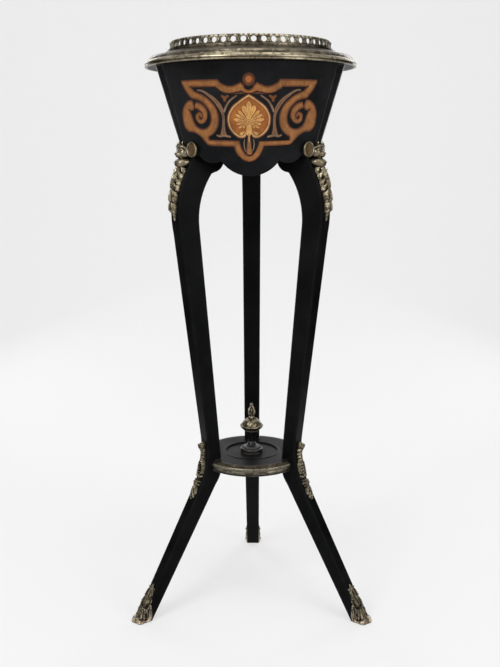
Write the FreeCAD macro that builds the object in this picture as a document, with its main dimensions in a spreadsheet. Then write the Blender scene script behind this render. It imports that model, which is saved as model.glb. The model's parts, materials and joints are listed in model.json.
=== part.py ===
import FreeCAD, Part
import math
import os
import re
import Sketcher
from FreeCAD import Placement, Rotation, Vector

# Tripod jardiniere: a flared tub of three bowed panels on three cabriole legs, joined low down by a
# round shelf with a finial. Lengths are millimetres. The origin is the point of the floor under the
# stand's vertical axis, +Z is up, and the front panel faces -Y.

SIZES = {
    # Whole stand, floor to the top of the gallery
    "overall_height": 1080,
    # Tub: three bowed panels and three flat corner posts, measured under the top board and on the legs
    "tub_depth": 155,
    "tub_chord_top": 302,
    "tub_chord_seat": 223,
    "corner_width_top": 28,
    "corner_width_seat": 17.5,
    "bow_radius": 238,
    "panel_wall": 11,
    "veneer_wall": 1,
    "floor_thick": 12,
    "floor_play": 0.2,
    "block_depth": 12,
    "block_flare": 8,
    # Apron: a round lobe between two cusps, and a scallop running up to each leg
    "apron_drop": 36.5,
    "cusp_drop": 9.5,
    "cusp_half_span": 51.5,
    "scallop_half_span": 90,
    "scallop_radius": 27,
    # Top board and the moulding round its edge
    "board_thick": 11,
    "board_radius": 188,
    "rim_radius": 193,
    "rim_bead_height": 3.5,
    "rim_groove_height": 1.8,
    "rim_groove_depth": 1.6,
    "rim_ovolo_radius": 6.5,
    # Collar between the board and the gallery
    "collar_height": 18,
    "collar_bore_radius": 140,
    "collar_foot_radius": 187.5,
    "collar_step_radius": 180.5,
    "collar_step_height": 7.5,
    "collar_ovolo_radius": 9,
    "collar_neck_radius": 156,
    "collar_neck_height": 14,
    "collar_cove_radius": 62,
    "collar_top_radius": 154,
    # Pierced gallery
    "gallery_height": 16,
    "gallery_radius": 146,
    "gallery_wall": 3,
    "gallery_foot_width": 7.5,
    "gallery_foot_height": 1.8,
    "gallery_bead_radius": 2.4,
    "gallery_holes": 53,
    "gallery_hole_radius": 4.8,
    "gallery_hole_rise": 7.8,
    # Zinc liner, which hangs by its flange from the top board
    "liner_hole_radius": 128,
    "liner_play": 2,
    "liner_depth": 142,
    "liner_bottom_radius": 96,
    "liner_wall": 1.2,
    "liner_flange_radius": 136,
    # Wire bail handles and their lugs inside the liner
    "bail_wire_radius": 2,
    "bail_play": 0.3,
    "bail_half_span": 25,
    "bail_hang": 26,
    "bail_bend_radius": 7,
    "bail_axis_radius": 108,
    "bail_axis_drop": 16,
    "bail_end": 2,
    "lug_thick": 3,
    "lug_gap": 4,
    "lug_height": 14,
    "lug_reach": 5,
    # Legs: radii are from the stand's axis, drops are from the legs' top, heights are from the floor
    "leg_width_top": 37.5,
    "leg_width_foot": 26.5,
    "leg_arris_radius": 3.5,
    "crown_radius": 128,
    "knee_shoulder_radius": 148,
    "knee_shoulder_drop": 45,
    "knee_base_radius": 154.5,
    "knee_base_drop": 140,
    "knee_bend_radius": 181,
    "ankle_top_radius": 106,
    "ankle_rise": 105,
    "ankle_base_radius": 127,
    "ankle_base_height": 240,
    "ankle_bend_radius": 179,
    "foot_inner_radius": 229,
    "foot_length": 24,
    "heel_thick": 39,
    "heel_rise": 13,
    "heel_bend_radius": 56,
    "seat_radius": 76.5,
    "seat_margin": 2,
    "thigh_radius": 117.6,
    "thigh_drop": 127,
    "thigh_bend_radius": 141.6,
    "bracket_step_radius": 90,
    "bracket_step_drop": 31,
    "bracket_ledge": 2,
    "bracket_toe_radius": 66,
    "bracket_toe_drop": 8,
    "bracket_toe_bend_radius": 24,
    "bracket_root_radius": 62,
    # Knee mask and the leaf drop under it
    "mask_drop": -9,
    "mask_seat_radius": 136,
    "mask_radius": 15,
    "muzzle_radius": 8,
    "muzzle_reach": 14,
    "muzzle_drop": 6.5,
    "ear_radius": 14,
    "ear_thick": 7,
    "ear_offset": 24,
    "ruff_half_width": 16,
    "ruff_half_height": 7.5,
    "ruff_edge_radius": 7.65,
    "ruff_seat_radius": 141,
    "ruff_drop": 12.5,
    "drop_half_width": 10,
    "drop_top_drop": 20,
    "drop_tip_drop": 112,
    "drop_relief": 10,
    # Ankle mount: rises and the fall are measured from the ankle's lower end
    "ankle_mount_rise": 102,
    "ankle_mount_fall": 14,
    "ankle_mount_half_width": 15,
    "ankle_relief": 5.5,
    "ankle_sink": 8,
    "rosette_radius": 12.5,
    "rosette_depth": 5,
    "rosette_rise": 17,
    # Sabot
    "sabot_height": 68,
    "sabot_wrap": 5,
    "sabot_relief": 4,
    "toe_radius": 6.5,
    "toe_reach": 9.5,
    # Shelf, above the ankle's lower end, and the milled strips round its edge
    "shelf_rise": 62,
    "shelf_thick": 21,
    "shelf_radius": 95.5,
    "strip_height": 11,
    "strip_depth": 4.5,
    "strip_bulge": 2,
    "strip_end_play": 0.2,
    "dish_radius": 50,
    "dish_depth": 1.5,
    "dish_lip_width": 7,
    "dish_lip_height": 1.2,
    "notch_play": 0.1,
    # Finial, from the dish of the shelf upwards
    "base_ring_radius": 22.5,
    "base_ring_height": 8.5,
    "base_ring_round": 3.5,
    "vase_foot_radius": 16.5,
    "vase_foot_height": 5,
    "vase_neck_radius": 6,
    "vase_neck_rise": 12,
    "vase_height": 37,
    "vase_shoulder_radius": 16,
    "vase_side_radius": 60,
    "cap_radius": 23,
    "cap_height": 22,
    "cap_lip_height": 7.5,
    "cap_edge_thick": 3,
    "cap_bell_radius": 18.5,
    "cap_bell_side_radius": 26,
    "cap_bowl_radius": 9,
    "cap_top_radius": 9,
    "flame_ball_radius": 6,
    "flame_ball_height": 5,
    "flame_stem_radius": 2.4,
    "flame_stalk_radius": 1.4,
    "flame_neck": 1.5,
    "flame_loop_half_height": 9.5,
    "flame_loop_half_width": 9,
    "flame_wire": 2.6,
    "flame_tip_thick": 3.1,
    "flame_bud_radius": 2.9,
    "flame_bead_radius": 3.3,
    "flame_bead_sink": 0.8,
    "rod_radius": 3,
    "rod_play": 0.3,
    "nut_radius": 6.5,
    "nut_height": 5,
    "washer_radius": 9,
    "washer_thick": 1.6,
    # Screws, dowels and pins
    "leg_screw_radius": 2.4,
    "leg_screw_play": 0.3,
    "leg_screw_head_radius": 4.6,
    "leg_screw_head_height": 2.6,
    "leg_screw_bite": 28,
    "leg_screw_inset": 18,
    "leg_screw_pitch": 20,
    "rim_screw_radius": 1.8,
    "rim_screw_head_radius": 3.6,
    "rim_screw_head_height": 2.5,
    "rim_screw_bite": 13,
    "rim_screw_inset": 7.5,
    "dowel_radius": 3.5,
    "dowel_half_length": 14,
    "pin_radius": 1.1,
    "pin_bite": 7,
    "pin_stand": 0.8,
    "pin_inset": 6,
    # Every cut runs past what it cuts by this much
    "overrun": 5,
}

# The gallery's first hole lies just right of the front, in degrees
GALLERY_TURN = 2.8

# Where each leg with its corner post, and each bowed panel, is turned to, in degrees about +Z
LEG_TURNS = {"left": 210, "right": 330, "back": 90}
PANEL_TURNS = {"front": 0, "right": 120, "left": 240}

# The liner's handles are at the two sides
HANDLE_TURNS = {"right": 0, "left": 180}

# Half widths and drops of the knee's leaf drop, as shares of its half width and its length
DROP_SHARES = [(0.9, 0.0), (1.0, 0.12), (0.78, 0.2), (0.98, 0.36), (0.7, 0.46), (0.86, 0.6)]
DROP_SHARES += [(0.5, 0.72), (0.62, 0.82), (0.12, 1.0)]

# Half widths and drops of the ankle mount, as shares of its half width and its length
ANKLE_SHARES = [(0.22, 0.0), (0.42, 0.06), (0.24, 0.14), (0.3, 0.28), (0.8, 0.36), (1.0, 0.46)]
ANKLE_SHARES += [(0.92, 0.58), (0.55, 0.64), (0.95, 0.7), (0.9, 0.8), (0.45, 0.88), (0.1, 1.0)]

# The oval opening of the ankle mount, as shares of the same half width and length
ANKLE_EYE_SHARES = [(0.0, 0.36), (0.42, 0.42), (0.5, 0.48), (0.38, 0.55), (0.0, 0.61)]

# The mask's ears face this far round from straight out, in degrees
EAR_TURN = 12

# The crossed leaves of the flame are turned this far from facing front, in degrees
FLAME_TURN = 45

# The ankle's rosette faces this far up from level, in degrees
ROSETTE_TILT = 22

doc = FreeCAD.newDocument("jardiniere")
sheet = doc.addObject("Spreadsheet::Sheet", "sizes")
for row, (alias, size) in enumerate(SIZES.items(), start=1):
    sheet.set(f"A{row}", alias)
    sheet.set(f"B{row}", str(size))
    sheet.setAlias(f"B{row}", alias)
doc.recompute()

nodes = []


def bound(text):
    """The expression with the sheet's name before each size's name."""
    return re.sub(r"[a-z][a-z_]+", lambda m: f"sizes.{m.group()}" if m.group() in SIZES else m.group(), text)


def value(text):
    """What an expression of sizes comes to."""
    return float(sheet.evalExpression(bound(text)))


def bind(thing, **expressions):
    """Bind properties of an object to expressions of sizes."""
    for name, text in expressions.items():
        thing.setExpression(name.replace("__", "."), bound(text))


def keep(thing, label):
    """Name a finished sub-part, which becomes a node of its own."""
    thing.Label = label
    nodes.append(thing)
    return thing


def turned(degrees):
    """A placement turned about the stand's axis."""
    return Placement(Vector(), Rotation(Vector(0, 0, 1), degrees))


def new_body(name, turn=0):
    """A body turned about the stand's axis."""
    body = doc.addObject("PartDesign::Body", name)
    body.Placement = turned(turn)
    return body


def origin_part(body, role):
    """A plane or axis of the body's own origin."""
    return next(feature for feature in body.Origin.OriginFeatures if feature.Role == role)


def new_sketch(body, role, lift="0"):
    """A sketch on one of the body's origin planes, lifted along its normal."""
    sketch = body.newObject("Sketcher::SketchObject", f"{body.Name}_outline")
    sketch.AttachmentSupport = [(origin_part(body, role), "")]
    sketch.MapMode = "FlatFace"
    if lift != "0":
        sketch.AttachmentOffset = Placement(Vector(0, 0, value(lift)), Rotation())
        sketch.setExpression("AttachmentOffset.Base.z", bound(lift))
    return sketch


def bow_between(start, end, radius, side):
    """An arc from start to end, bulging left (1) or right (-1) of the way there, stored anticlockwise."""
    half = (end - start) * 0.5
    rise = math.sqrt(max(radius**2 - half.Length**2, 0))
    leftward = Vector(-half.y, half.x, 0).normalize()
    centre = start + half - leftward * side * rise
    first, last = (start, end) if side < 0 else (end, start)
    angles = [math.atan2(p.y - centre.y, p.x - centre.x) for p in (first, last)]
    return Part.ArcOfCircle(Part.Circle(centre, Vector(0, 0, 1), radius), *angles)


def fix(sketch, geometry, place, point):
    """Fix one end of an edge at a point given by two expressions."""
    for kind, text in zip(("DistanceX", "DistanceY"), point):
        number = sketch.addConstraint(Sketcher.Constraint(kind, -1, 1, geometry, place, value(text)))
        if text != "0":
            sketch.setExpression(f"Constraints[{number}]", bound(text))


def draw(sketch, points, arcs=None, closed=True):
    """Draw an outline through points. arcs gives a radius and a side for each edge that is an arc."""
    arcs = arcs or {}
    first = sketch.GeometryCount
    places = [Vector(value(x), value(y), 0) for x, y in points]
    count = len(points) if closed else len(points) - 1
    starts = []
    for edge in range(count):
        start, end = places[edge], places[(edge + 1) % len(places)]
        if edge in arcs:
            radius, side = arcs[edge]
            sketch.addGeometry(bow_between(start, end, value(radius), side))
            number = sketch.addConstraint(Sketcher.Constraint("Radius", first + edge, value(radius)))
            sketch.setExpression(f"Constraints[{number}]", bound(radius))
            starts.append(1 if side < 0 else 2)
        else:
            sketch.addGeometry(Part.LineSegment(start, end))
            starts.append(1)
    for edge in range(count):
        fix(sketch, first + edge, starts[edge], points[edge])
        if closed or edge < count - 1:
            after = (edge + 1) % count
            ends = (first + edge, 3 - starts[edge], first + after, starts[after])
            sketch.addConstraint(Sketcher.Constraint("Coincident", *ends))
        else:
            fix(sketch, first + edge, 3 - starts[edge], points[edge + 1])


def draw_circle(sketch, centre, radius):
    """Draw a circle about a point."""
    place = Vector(value(centre[0]), value(centre[1]), 0)
    circle = sketch.addGeometry(Part.Circle(place, Vector(0, 0, 1), value(radius)))
    fix(sketch, circle, 3, centre)
    number = sketch.addConstraint(Sketcher.Constraint("Radius", circle, value(radius)))
    sketch.setExpression(f"Constraints[{number}]", bound(radius))


def add(body, kind, sketch, **expressions):
    """Add a sketched feature to a body."""
    feature = body.newObject(f"PartDesign::{kind}", f"{body.Name}_{kind.lower()}")
    feature.Profile = sketch
    bind(feature, **expressions)
    return feature


def pad(body, sketch, length, both_ways=False):
    """Pad a sketch along its normal, or half of the length each way."""
    feature = add(body, "Pad", sketch, Length=length)
    feature.SideType = "Symmetric" if both_ways else "One side"
    return feature


def cut_through(body, sketch):
    """Cut a sketch right through, both ways."""
    feature = add(body, "Pocket", sketch)
    feature.Type = "ThroughAll"
    feature.SideType = "Symmetric"
    return feature


def cut_to(body, sketch, depth, along_normal=False):
    """Cut a sketch to a depth, against its normal unless told otherwise."""
    feature = add(body, "Pocket", sketch, Length=depth)
    feature.Reversed = along_normal
    return feature


def turn_round(body, points, arcs=None):
    """Turn a profile of radii and heights about the stand's axis."""
    sketch = new_sketch(body, "XZ_Plane")
    draw(sketch, points, arcs)
    feature = add(body, "Revolution", sketch)
    feature.ReferenceAxis = (sketch, ["V_Axis"])
    feature.Angle = 360
    return feature


def loft(body, lower, upper):
    """A ruled loft between two sketches."""
    feature = add(body, "AdditiveLoft", lower)
    feature.Sections = [upper]
    feature.Ruled = True
    return feature


def repeat_round(body, features, count):
    """Repeat features about the stand's axis."""
    pattern = body.newObject("PartDesign::PolarPattern", f"{body.Name}_pattern")
    pattern.Originals = features
    pattern.Axis = (origin_part(body, "Z_Axis"), [""])
    pattern.Angle = 360
    pattern.Occurrences = count
    body.Tip = pattern
    return pattern


def combine(kind, name, base, tool):
    """A boolean of two objects."""
    thing = doc.addObject(f"Part::{kind}", name)
    thing.Base = base
    thing.Tool = tool
    return thing


# Levels, from the gallery down to the legs' tops
gallery_foot = "(overall_height - gallery_height)"
board_top = f"({gallery_foot} - collar_height)"
board_base = f"({board_top} - board_thick)"
leg_top = f"({board_base} - tub_depth)"
apron_base = f"({leg_top} - apron_drop)"
shelf_top = "(ankle_base_height + shelf_rise)"
shelf_base = f"({shelf_top} - shelf_thick)"
dish_level = f"({shelf_top} - dish_depth)"
ankle_top = "(ankle_base_height + ankle_rise)"
heel_level = "(ankle_base_height + heel_rise)"
heel_radius = "(ankle_base_radius - heel_thick)"
foot_outer = "(foot_inner_radius + foot_length)"
toe_middle = f"({foot_outer} + toe_reach)"

# The bow of a panel turns through the same angle at every level
bow_sine = "(tub_chord_top / 2 / bow_radius)"
bow_cosine = f"sqrt(1 - {bow_sine} * {bow_sine})"
whole_wall = "(panel_wall + veneer_wall)"


def tub_plan(drop):
    """Half chord, corner width, bow radius and bow centre of the tub, so far below the top board."""
    lean = f"(({drop}) / tub_depth)"
    half_chord = f"((tub_chord_top - (tub_chord_top - tub_chord_seat) * {lean}) / 2)"
    corner = f"(corner_width_top - (corner_width_top - corner_width_seat) * {lean})"
    bow = f"({half_chord} / {bow_sine})"
    centre = f"({bow} * {bow_cosine} - ({half_chord} + {corner}) / sqrt(3))"
    return half_chord, corner, bow, centre


def panel_edge(drop, inset):
    """The right-hand end of a front panel's face, and its bow radius, so far inside the tub's outside."""
    _, _, bow, centre = tub_plan(drop)
    radius = f"({bow} - {inset})"
    return f"({radius} * {bow_sine})", f"({centre} - {radius} * {bow_cosine})", radius


def corner_face(drop):
    """Distance of a corner post's face from the axis, so far below the top board."""
    half_chord, corner, _, _ = tub_plan(drop)
    return f"(sqrt(3) / 2 * {half_chord} + ({half_chord} + {corner}) / sqrt(3) / 2)"


def third_turn(x, y, thirds):
    """A point turned about the axis by a number of thirds of a turn."""
    if thirds == 0:
        return x, y
    sign = "-" if thirds == 1 else "+"
    other = "+" if thirds == 1 else "-"
    root = "(sqrt(3) / 2)"
    return f"(0 - ({x}) / 2 {sign} {root} * ({y}))", f"(0 {other} {root} * ({x}) - ({y}) / 2)"


def draw_tub(sketch, drop, inset):
    """The whole tub's outline, so far inside its outside."""
    edge_x, edge_y, radius = panel_edge(drop, inset)
    points = []
    for thirds in range(3):
        points.append(third_turn(f"(0 - {edge_x})", edge_y, thirds))
        points.append(third_turn(edge_x, edge_y, thirds))
    draw(sketch, points, {0: (radius, -1), 2: (radius, -1), 4: (radius, -1)})


def draw_panel(sketch, drop, outer_inset, inner_inset):
    """One panel's section: two bows with one centre, and ends that point at it."""
    outer_x, outer_y, outer_radius = panel_edge(drop, outer_inset)
    inner_x, inner_y, inner_radius = panel_edge(drop, inner_inset)
    points = [(f"(0 - {outer_x})", outer_y), (outer_x, outer_y), (inner_x, inner_y), (f"(0 - {inner_x})", inner_y)]
    draw(sketch, points, {0: (outer_radius, -1), 2: (inner_radius, 1)})


def bowed_panel(label, turn, outer_inset, inner_inset):
    """A bowed, flared board with the scalloped apron along its lower edge."""
    body = new_body(label, turn)
    lower = new_sketch(body, "XY_Plane", apron_base)
    draw_panel(lower, "tub_depth + apron_drop", outer_inset, inner_inset)
    upper = new_sketch(body, "XY_Plane", board_base)
    draw_panel(upper, "0", outer_inset, inner_inset)
    loft(body, lower, upper)
    apron = new_sketch(body, "XZ_Plane")
    lobe = "(apron_drop - cusp_drop)"
    lobe_radius = f"((cusp_half_span * cusp_half_span + {lobe} * {lobe}) / (2 * {lobe}))"
    wide = "(tub_chord_top / 2)"
    below = f"({apron_base} - overrun)"
    cusp = f"({leg_top} - cusp_drop)"
    points = [(f"(0 - {wide})", leg_top), ("(0 - scallop_half_span)", leg_top), ("(0 - cusp_half_span)", cusp)]
    points += [("cusp_half_span", cusp), ("scallop_half_span", leg_top), (wide, leg_top)]
    points += [(wide, below), (f"(0 - {wide})", below)]
    draw(apron, points, {1: ("scallop_radius", -1), 2: (lobe_radius, -1), 3: ("scallop_radius", -1)})
    cut_through(body, apron)
    return keep(body, label)


def post_back(drop):
    """Distance of a corner post's back from the axis, and half its width, so far below the top board."""
    splay_sine = f"(sqrt(3) / 2 * {bow_cosine} - {bow_sine} / 2)"
    splay_cosine = f"({bow_cosine} / 2 + sqrt(3) / 2 * {bow_sine})"
    _, corner, _, _ = tub_plan(drop)
    return f"({corner_face(drop)} - {whole_wall} * {splay_cosine})", f"({corner} / 2 - {whole_wall} * {splay_sine})"


def corner_post(side, turn):
    """The flat corner post that stands on a leg, between the ends of two panels."""
    body = new_body(f"{side}_corner_post", turn)
    sections = []
    for drop, level in (("tub_depth", leg_top), ("0", board_base)):
        _, corner, _, _ = tub_plan(drop)
        face = corner_face(drop)
        back, half_back = post_back(drop)
        sketch = new_sketch(body, "XY_Plane", level)
        points = [(back, f"(0 - {half_back})"), (face, f"(0 - {corner} / 2)"), (face, f"({corner} / 2)")]
        draw(sketch, points + [(back, half_back)])
        sections.append(sketch)
    loft(body, *sections)
    return keep(body, body.Name)


def corner_block(side, turn):
    """The glue block in a corner of the tub, which takes the top board's screw."""
    body = new_body(f"{side}_corner_block", turn)
    sections = []
    for drop, level in (("tub_depth - floor_thick", f"({leg_top} + floor_thick)"), ("0", board_base)):
        back, half_back = post_back(drop)
        inner, half_inner = f"({back} - block_depth)", f"({half_back} + block_flare)"
        sketch = new_sketch(body, "XY_Plane", level)
        draw(sketch, [(inner, f"(0 - {half_inner})"), (back, f"(0 - {half_back})"), (back, half_back), (inner, half_inner)])
        sections.append(sketch)
    loft(body, *sections)
    screw = new_sketch(body, "XY_Plane", board_base)
    draw_circle(screw, (rim_screw_place(), "0"), "rim_screw_radius")
    cut_to(body, screw, "rim_screw_bite")
    return keep(body, body.Name)


def rim_screw_place():
    """Distance of a top board screw from the axis."""
    return f"({post_back('0')[0]} - rim_screw_inset)"


def leg_screw_places():
    """Distances of a leg's two screws from the axis."""
    first = f"({corner_face('tub_depth')} - {whole_wall} - leg_screw_inset)"
    return first, f"({first} - leg_screw_pitch)"


def tub_floor():
    """The board that closes the tub and is screwed down on the legs."""
    body = new_body("tub_floor")
    inset = f"({whole_wall} + floor_play)"
    lower = new_sketch(body, "XY_Plane", leg_top)
    draw_tub(lower, "tub_depth", inset)
    upper = new_sketch(body, "XY_Plane", f"({leg_top} + floor_thick)")
    draw_tub(upper, "tub_depth - floor_thick", inset)
    loft(body, lower, upper)
    holes = new_sketch(body, "XY_Plane", f"({leg_top} + floor_thick)")
    for distance in leg_screw_places():
        for thirds in range(3):
            place = third_turn("0", distance, thirds)
            draw_circle(holes, place, "(leg_screw_radius + leg_screw_play)")
    cut_to(body, holes, "floor_thick")
    return keep(body, body.Name)


def tub_envelope():
    """The tub's outside as one solid, which the masks are fitted against. It isn't a sub-part."""
    body = new_body("tub_envelope")
    lower = new_sketch(body, "XY_Plane", apron_base)
    draw_tub(lower, "tub_depth + apron_drop", "0")
    upper = new_sketch(body, "XY_Plane", board_base)
    draw_tub(upper, "0", "0")
    loft(body, lower, upper)
    return body


def top_board():
    """The round board that covers the tub, with the liner's hole and countersunk screws."""
    body = new_body("top_board")
    points = [("liner_hole_radius", board_base), ("board_radius", board_base)]
    turn_round(body, points + [("board_radius", board_top), ("liner_hole_radius", board_top)])
    place = rim_screw_place()
    heads = new_sketch(body, "XY_Plane", board_top)
    shanks = new_sketch(body, "XY_Plane", board_top)
    for thirds in range(3):
        draw_circle(heads, third_turn("0", place, thirds), "rim_screw_head_radius")
        draw_circle(shanks, third_turn("0", place, thirds), "rim_screw_radius")
    cut_to(body, heads, "rim_screw_head_height")
    cut_to(body, shanks, "board_thick")
    return keep(body, body.Name)


def rim_moulding():
    """Bronze edge of the top board: a small bead, a groove and an ovolo above it."""
    bead_top = f"({board_base} + rim_bead_height)"
    ovolo_base = f"({bead_top} + rim_groove_height)"
    groove = "(rim_radius - rim_groove_depth)"
    points = [("board_radius", board_base), (groove, board_base), ("rim_radius", f"({board_base} + rim_bead_height / 4)")]
    points += [("rim_radius", f"({bead_top} - rim_bead_height / 4)"), (groove, bead_top), (groove, ovolo_base)]
    points += [("rim_radius", ovolo_base), ("board_radius", board_top)]
    body = new_body("rim_moulding")
    turn_round(body, points, {6: ("rim_ovolo_radius", -1)})
    return keep(body, body.Name)


def collar():
    """Bronze collar: an ovolo foot, a long cove and a neck under the gallery."""
    step = f"({board_top} + collar_step_height)"
    neck = f"({board_top} + collar_neck_height)"
    points = [("collar_bore_radius", board_top), ("collar_foot_radius", board_top), ("collar_step_radius", step)]
    points += [("collar_neck_radius", neck), ("collar_top_radius", neck), ("collar_top_radius", gallery_foot)]
    points += [("collar_bore_radius", gallery_foot)]
    body = new_body("collar")
    turn_round(body, points, {1: ("collar_ovolo_radius", -1), 2: ("collar_cove_radius", 1)})
    return keep(body, body.Name)


def gallery():
    """Pierced bronze gallery: a foot, an upright band with round holes and a bead along the top."""
    inside = "(gallery_radius - gallery_wall)"
    foot_top = f"({gallery_foot} + gallery_foot_height)"
    bead_base = "(overall_height - 2 * gallery_bead_radius)"
    middle = "(gallery_radius - gallery_wall / 2)"
    swell = "gallery_bead_radius"
    points = [(inside, gallery_foot), (f"({inside} + gallery_foot_width)", gallery_foot)]
    points += [(f"({inside} + gallery_foot_width)", f"({foot_top} - gallery_foot_height / 3)")]
    points += [("gallery_radius", foot_top), ("gallery_radius", bead_base)]
    points += [(f"({middle} + {swell})", "(overall_height - 3 * gallery_bead_radius / 2)")]
    points += [(f"({middle} + {swell})", "(overall_height - gallery_bead_radius / 2)")]
    points += [(f"({middle} + gallery_bead_radius / 3)", "overall_height")]
    points += [(f"({middle} - gallery_bead_radius / 3)", "overall_height")]
    points += [(f"({middle} - {swell})", "(overall_height - gallery_bead_radius / 2)")]
    points += [(f"({middle} - {swell})", "(overall_height - 3 * gallery_bead_radius / 2)"), (inside, bead_base)]
    body = new_body("gallery", GALLERY_TURN)
    turn_round(body, points)
    hole = new_sketch(body, "XZ_Plane", f"({inside} - overrun)")
    draw_circle(hole, ("0", f"({gallery_foot} + gallery_hole_rise)"), "gallery_hole_radius")
    piercing = cut_to(body, hole, "gallery_wall + 2 * overrun", along_normal=True)
    repeat_round(body, [piercing], SIZES["gallery_holes"])
    return keep(body, body.Name)


def liner():
    """Tapered zinc liner: a wall with a flange round its mouth, and a floor soldered in at the bottom."""
    base = f"({board_top} - liner_depth)"
    mouth = "(liner_hole_radius - liner_play)"
    slope = f"(({mouth} - liner_bottom_radius) / liner_depth)"
    foot = (f"(liner_bottom_radius - liner_wall - {slope} * liner_wall)", base)
    points = [foot, ("liner_bottom_radius", base), (mouth, board_top), ("liner_flange_radius", board_top)]
    points += [("liner_flange_radius", f"({board_top} + liner_wall)")]
    points += [(f"({mouth} - liner_wall)", f"({board_top} + liner_wall)")]
    wall = new_body("liner")
    turn_round(wall, points)
    keep(wall, wall.Name)
    floor = new_body("liner_floor")
    floor_top = f"({base} + liner_wall)"
    turn_round(floor, [("0", base), foot, ("(liner_bottom_radius - liner_wall)", floor_top), ("0", floor_top)])
    return keep(floor, floor.Name)


def handle_lugs(side, turn):
    """Two pierced lugs soldered to the liner's wall, which carry one bail."""
    name = f"{side}_handle_lugs"
    axis = f"({board_top} - bail_axis_drop)"
    inner = "(bail_half_span + bail_bend_radius + lug_gap)"
    outer = f"({inner} + lug_thick)"
    plates = doc.addObject("Part::Box", f"{name}_plates")
    bind(plates, Length="liner_hole_radius - bail_axis_radius + lug_reach", Width=f"2 * {outer}", Height="lug_height")
    start = {"Placement__Base__x": "bail_axis_radius - lug_reach", "Placement__Base__z": f"{axis} - lug_height / 2"}
    bind(plates, Placement__Base__y=f"0 - {outer}", **start)
    gap = doc.addObject("Part::Box", f"{name}_gap")
    bind(gap, Length="liner_hole_radius - bail_axis_radius + lug_reach", Width=f"2 * {inner}", Height="lug_height")
    bind(gap, Placement__Base__y=f"0 - {inner}", **start)
    bore = doc.addObject("Part::Cylinder", f"{name}_bore")
    bore.Placement = Placement(Vector(), Rotation(Vector(1, 0, 0), -90))
    bind(bore, Radius="bail_wire_radius + bail_play", Height=f"2 * ({outer} + overrun)")
    bind(bore, Placement__Base__x="bail_axis_radius", Placement__Base__y=f"0 - {outer} - overrun")
    bind(bore, Placement__Base__z=axis)
    hollow = doc.addObject("Part::Cone", f"{name}_hollow")
    bind(hollow, Radius1="liner_bottom_radius - liner_wall", Height="liner_depth")
    bind(hollow, Radius2="liner_hole_radius - liner_play - liner_wall")
    bind(hollow, Placement__Base__z=f"{board_top} - liner_depth + liner_wall")
    pair = combine("Cut", f"{name}_pair", plates, gap)
    pierced = combine("Cut", f"{name}_pierced", pair, bore)
    lugs = combine("Common", name, pierced, hollow)
    lugs.Placement = turned(turn)
    return keep(lugs, name)


def bail(side, turn):
    """A bent wire handle, hanging from its lugs."""
    body = new_body(f"{side}_handle", turn)
    axis = f"({board_top} - bail_axis_drop)"
    corner = "(bail_half_span + bail_bend_radius)"
    end = f"({corner} + lug_gap + lug_thick + bail_end)"
    low = f"({axis} - bail_hang - bail_bend_radius)"
    half = [(end, axis), (corner, axis), ("bail_half_span", f"({axis} - bail_bend_radius)")]
    half += [("bail_half_span", f"({low} + bail_bend_radius)"), ("(bail_half_span - bail_bend_radius)", low)]
    points = [(f"(0 - {x})", y) for x, y in half] + half[::-1]
    bends = {1: ("bail_bend_radius", 1), 3: ("bail_bend_radius", -1), 5: ("bail_bend_radius", -1)}
    bends[7] = ("bail_bend_radius", 1)
    path = new_sketch(body, "YZ_Plane", "bail_axis_radius")
    draw(path, points, bends, closed=False)
    section = new_sketch(body, "XZ_Plane", end)
    draw_circle(section, ("bail_axis_radius", axis), "bail_wire_radius")
    pipe = add(body, "AdditivePipe", section)
    pipe.Spine = (path, [f"Edge{number}" for number in range(1, 10)])
    return keep(body, body.Name)


def leg_half_width(height):
    """Half of a leg's width, at a height."""
    return f"((leg_width_foot + (leg_width_top - leg_width_foot) * ({height}) / {leg_top}) / 2)"


def outer_arrises(shape, outline):
    """The names of the long edges along a leg's outer face, whose profile is given."""
    places = [(value(x), value(z)) for x, z in outline]
    found = []
    for number, edge in enumerate(shape.Edges, start=1):
        tall = edge.BoundBox.ZLength > value("leg_arris_radius")
        ends = [vertex.Point for vertex in edge.Vertexes]
        outside = all(min(math.hypot(end.x - x, end.z - z) for x, z in places) < value("floor_play") for end in ends)
        if tall and outside:
            found.append(f"Edge{number}")
    return found


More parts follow.
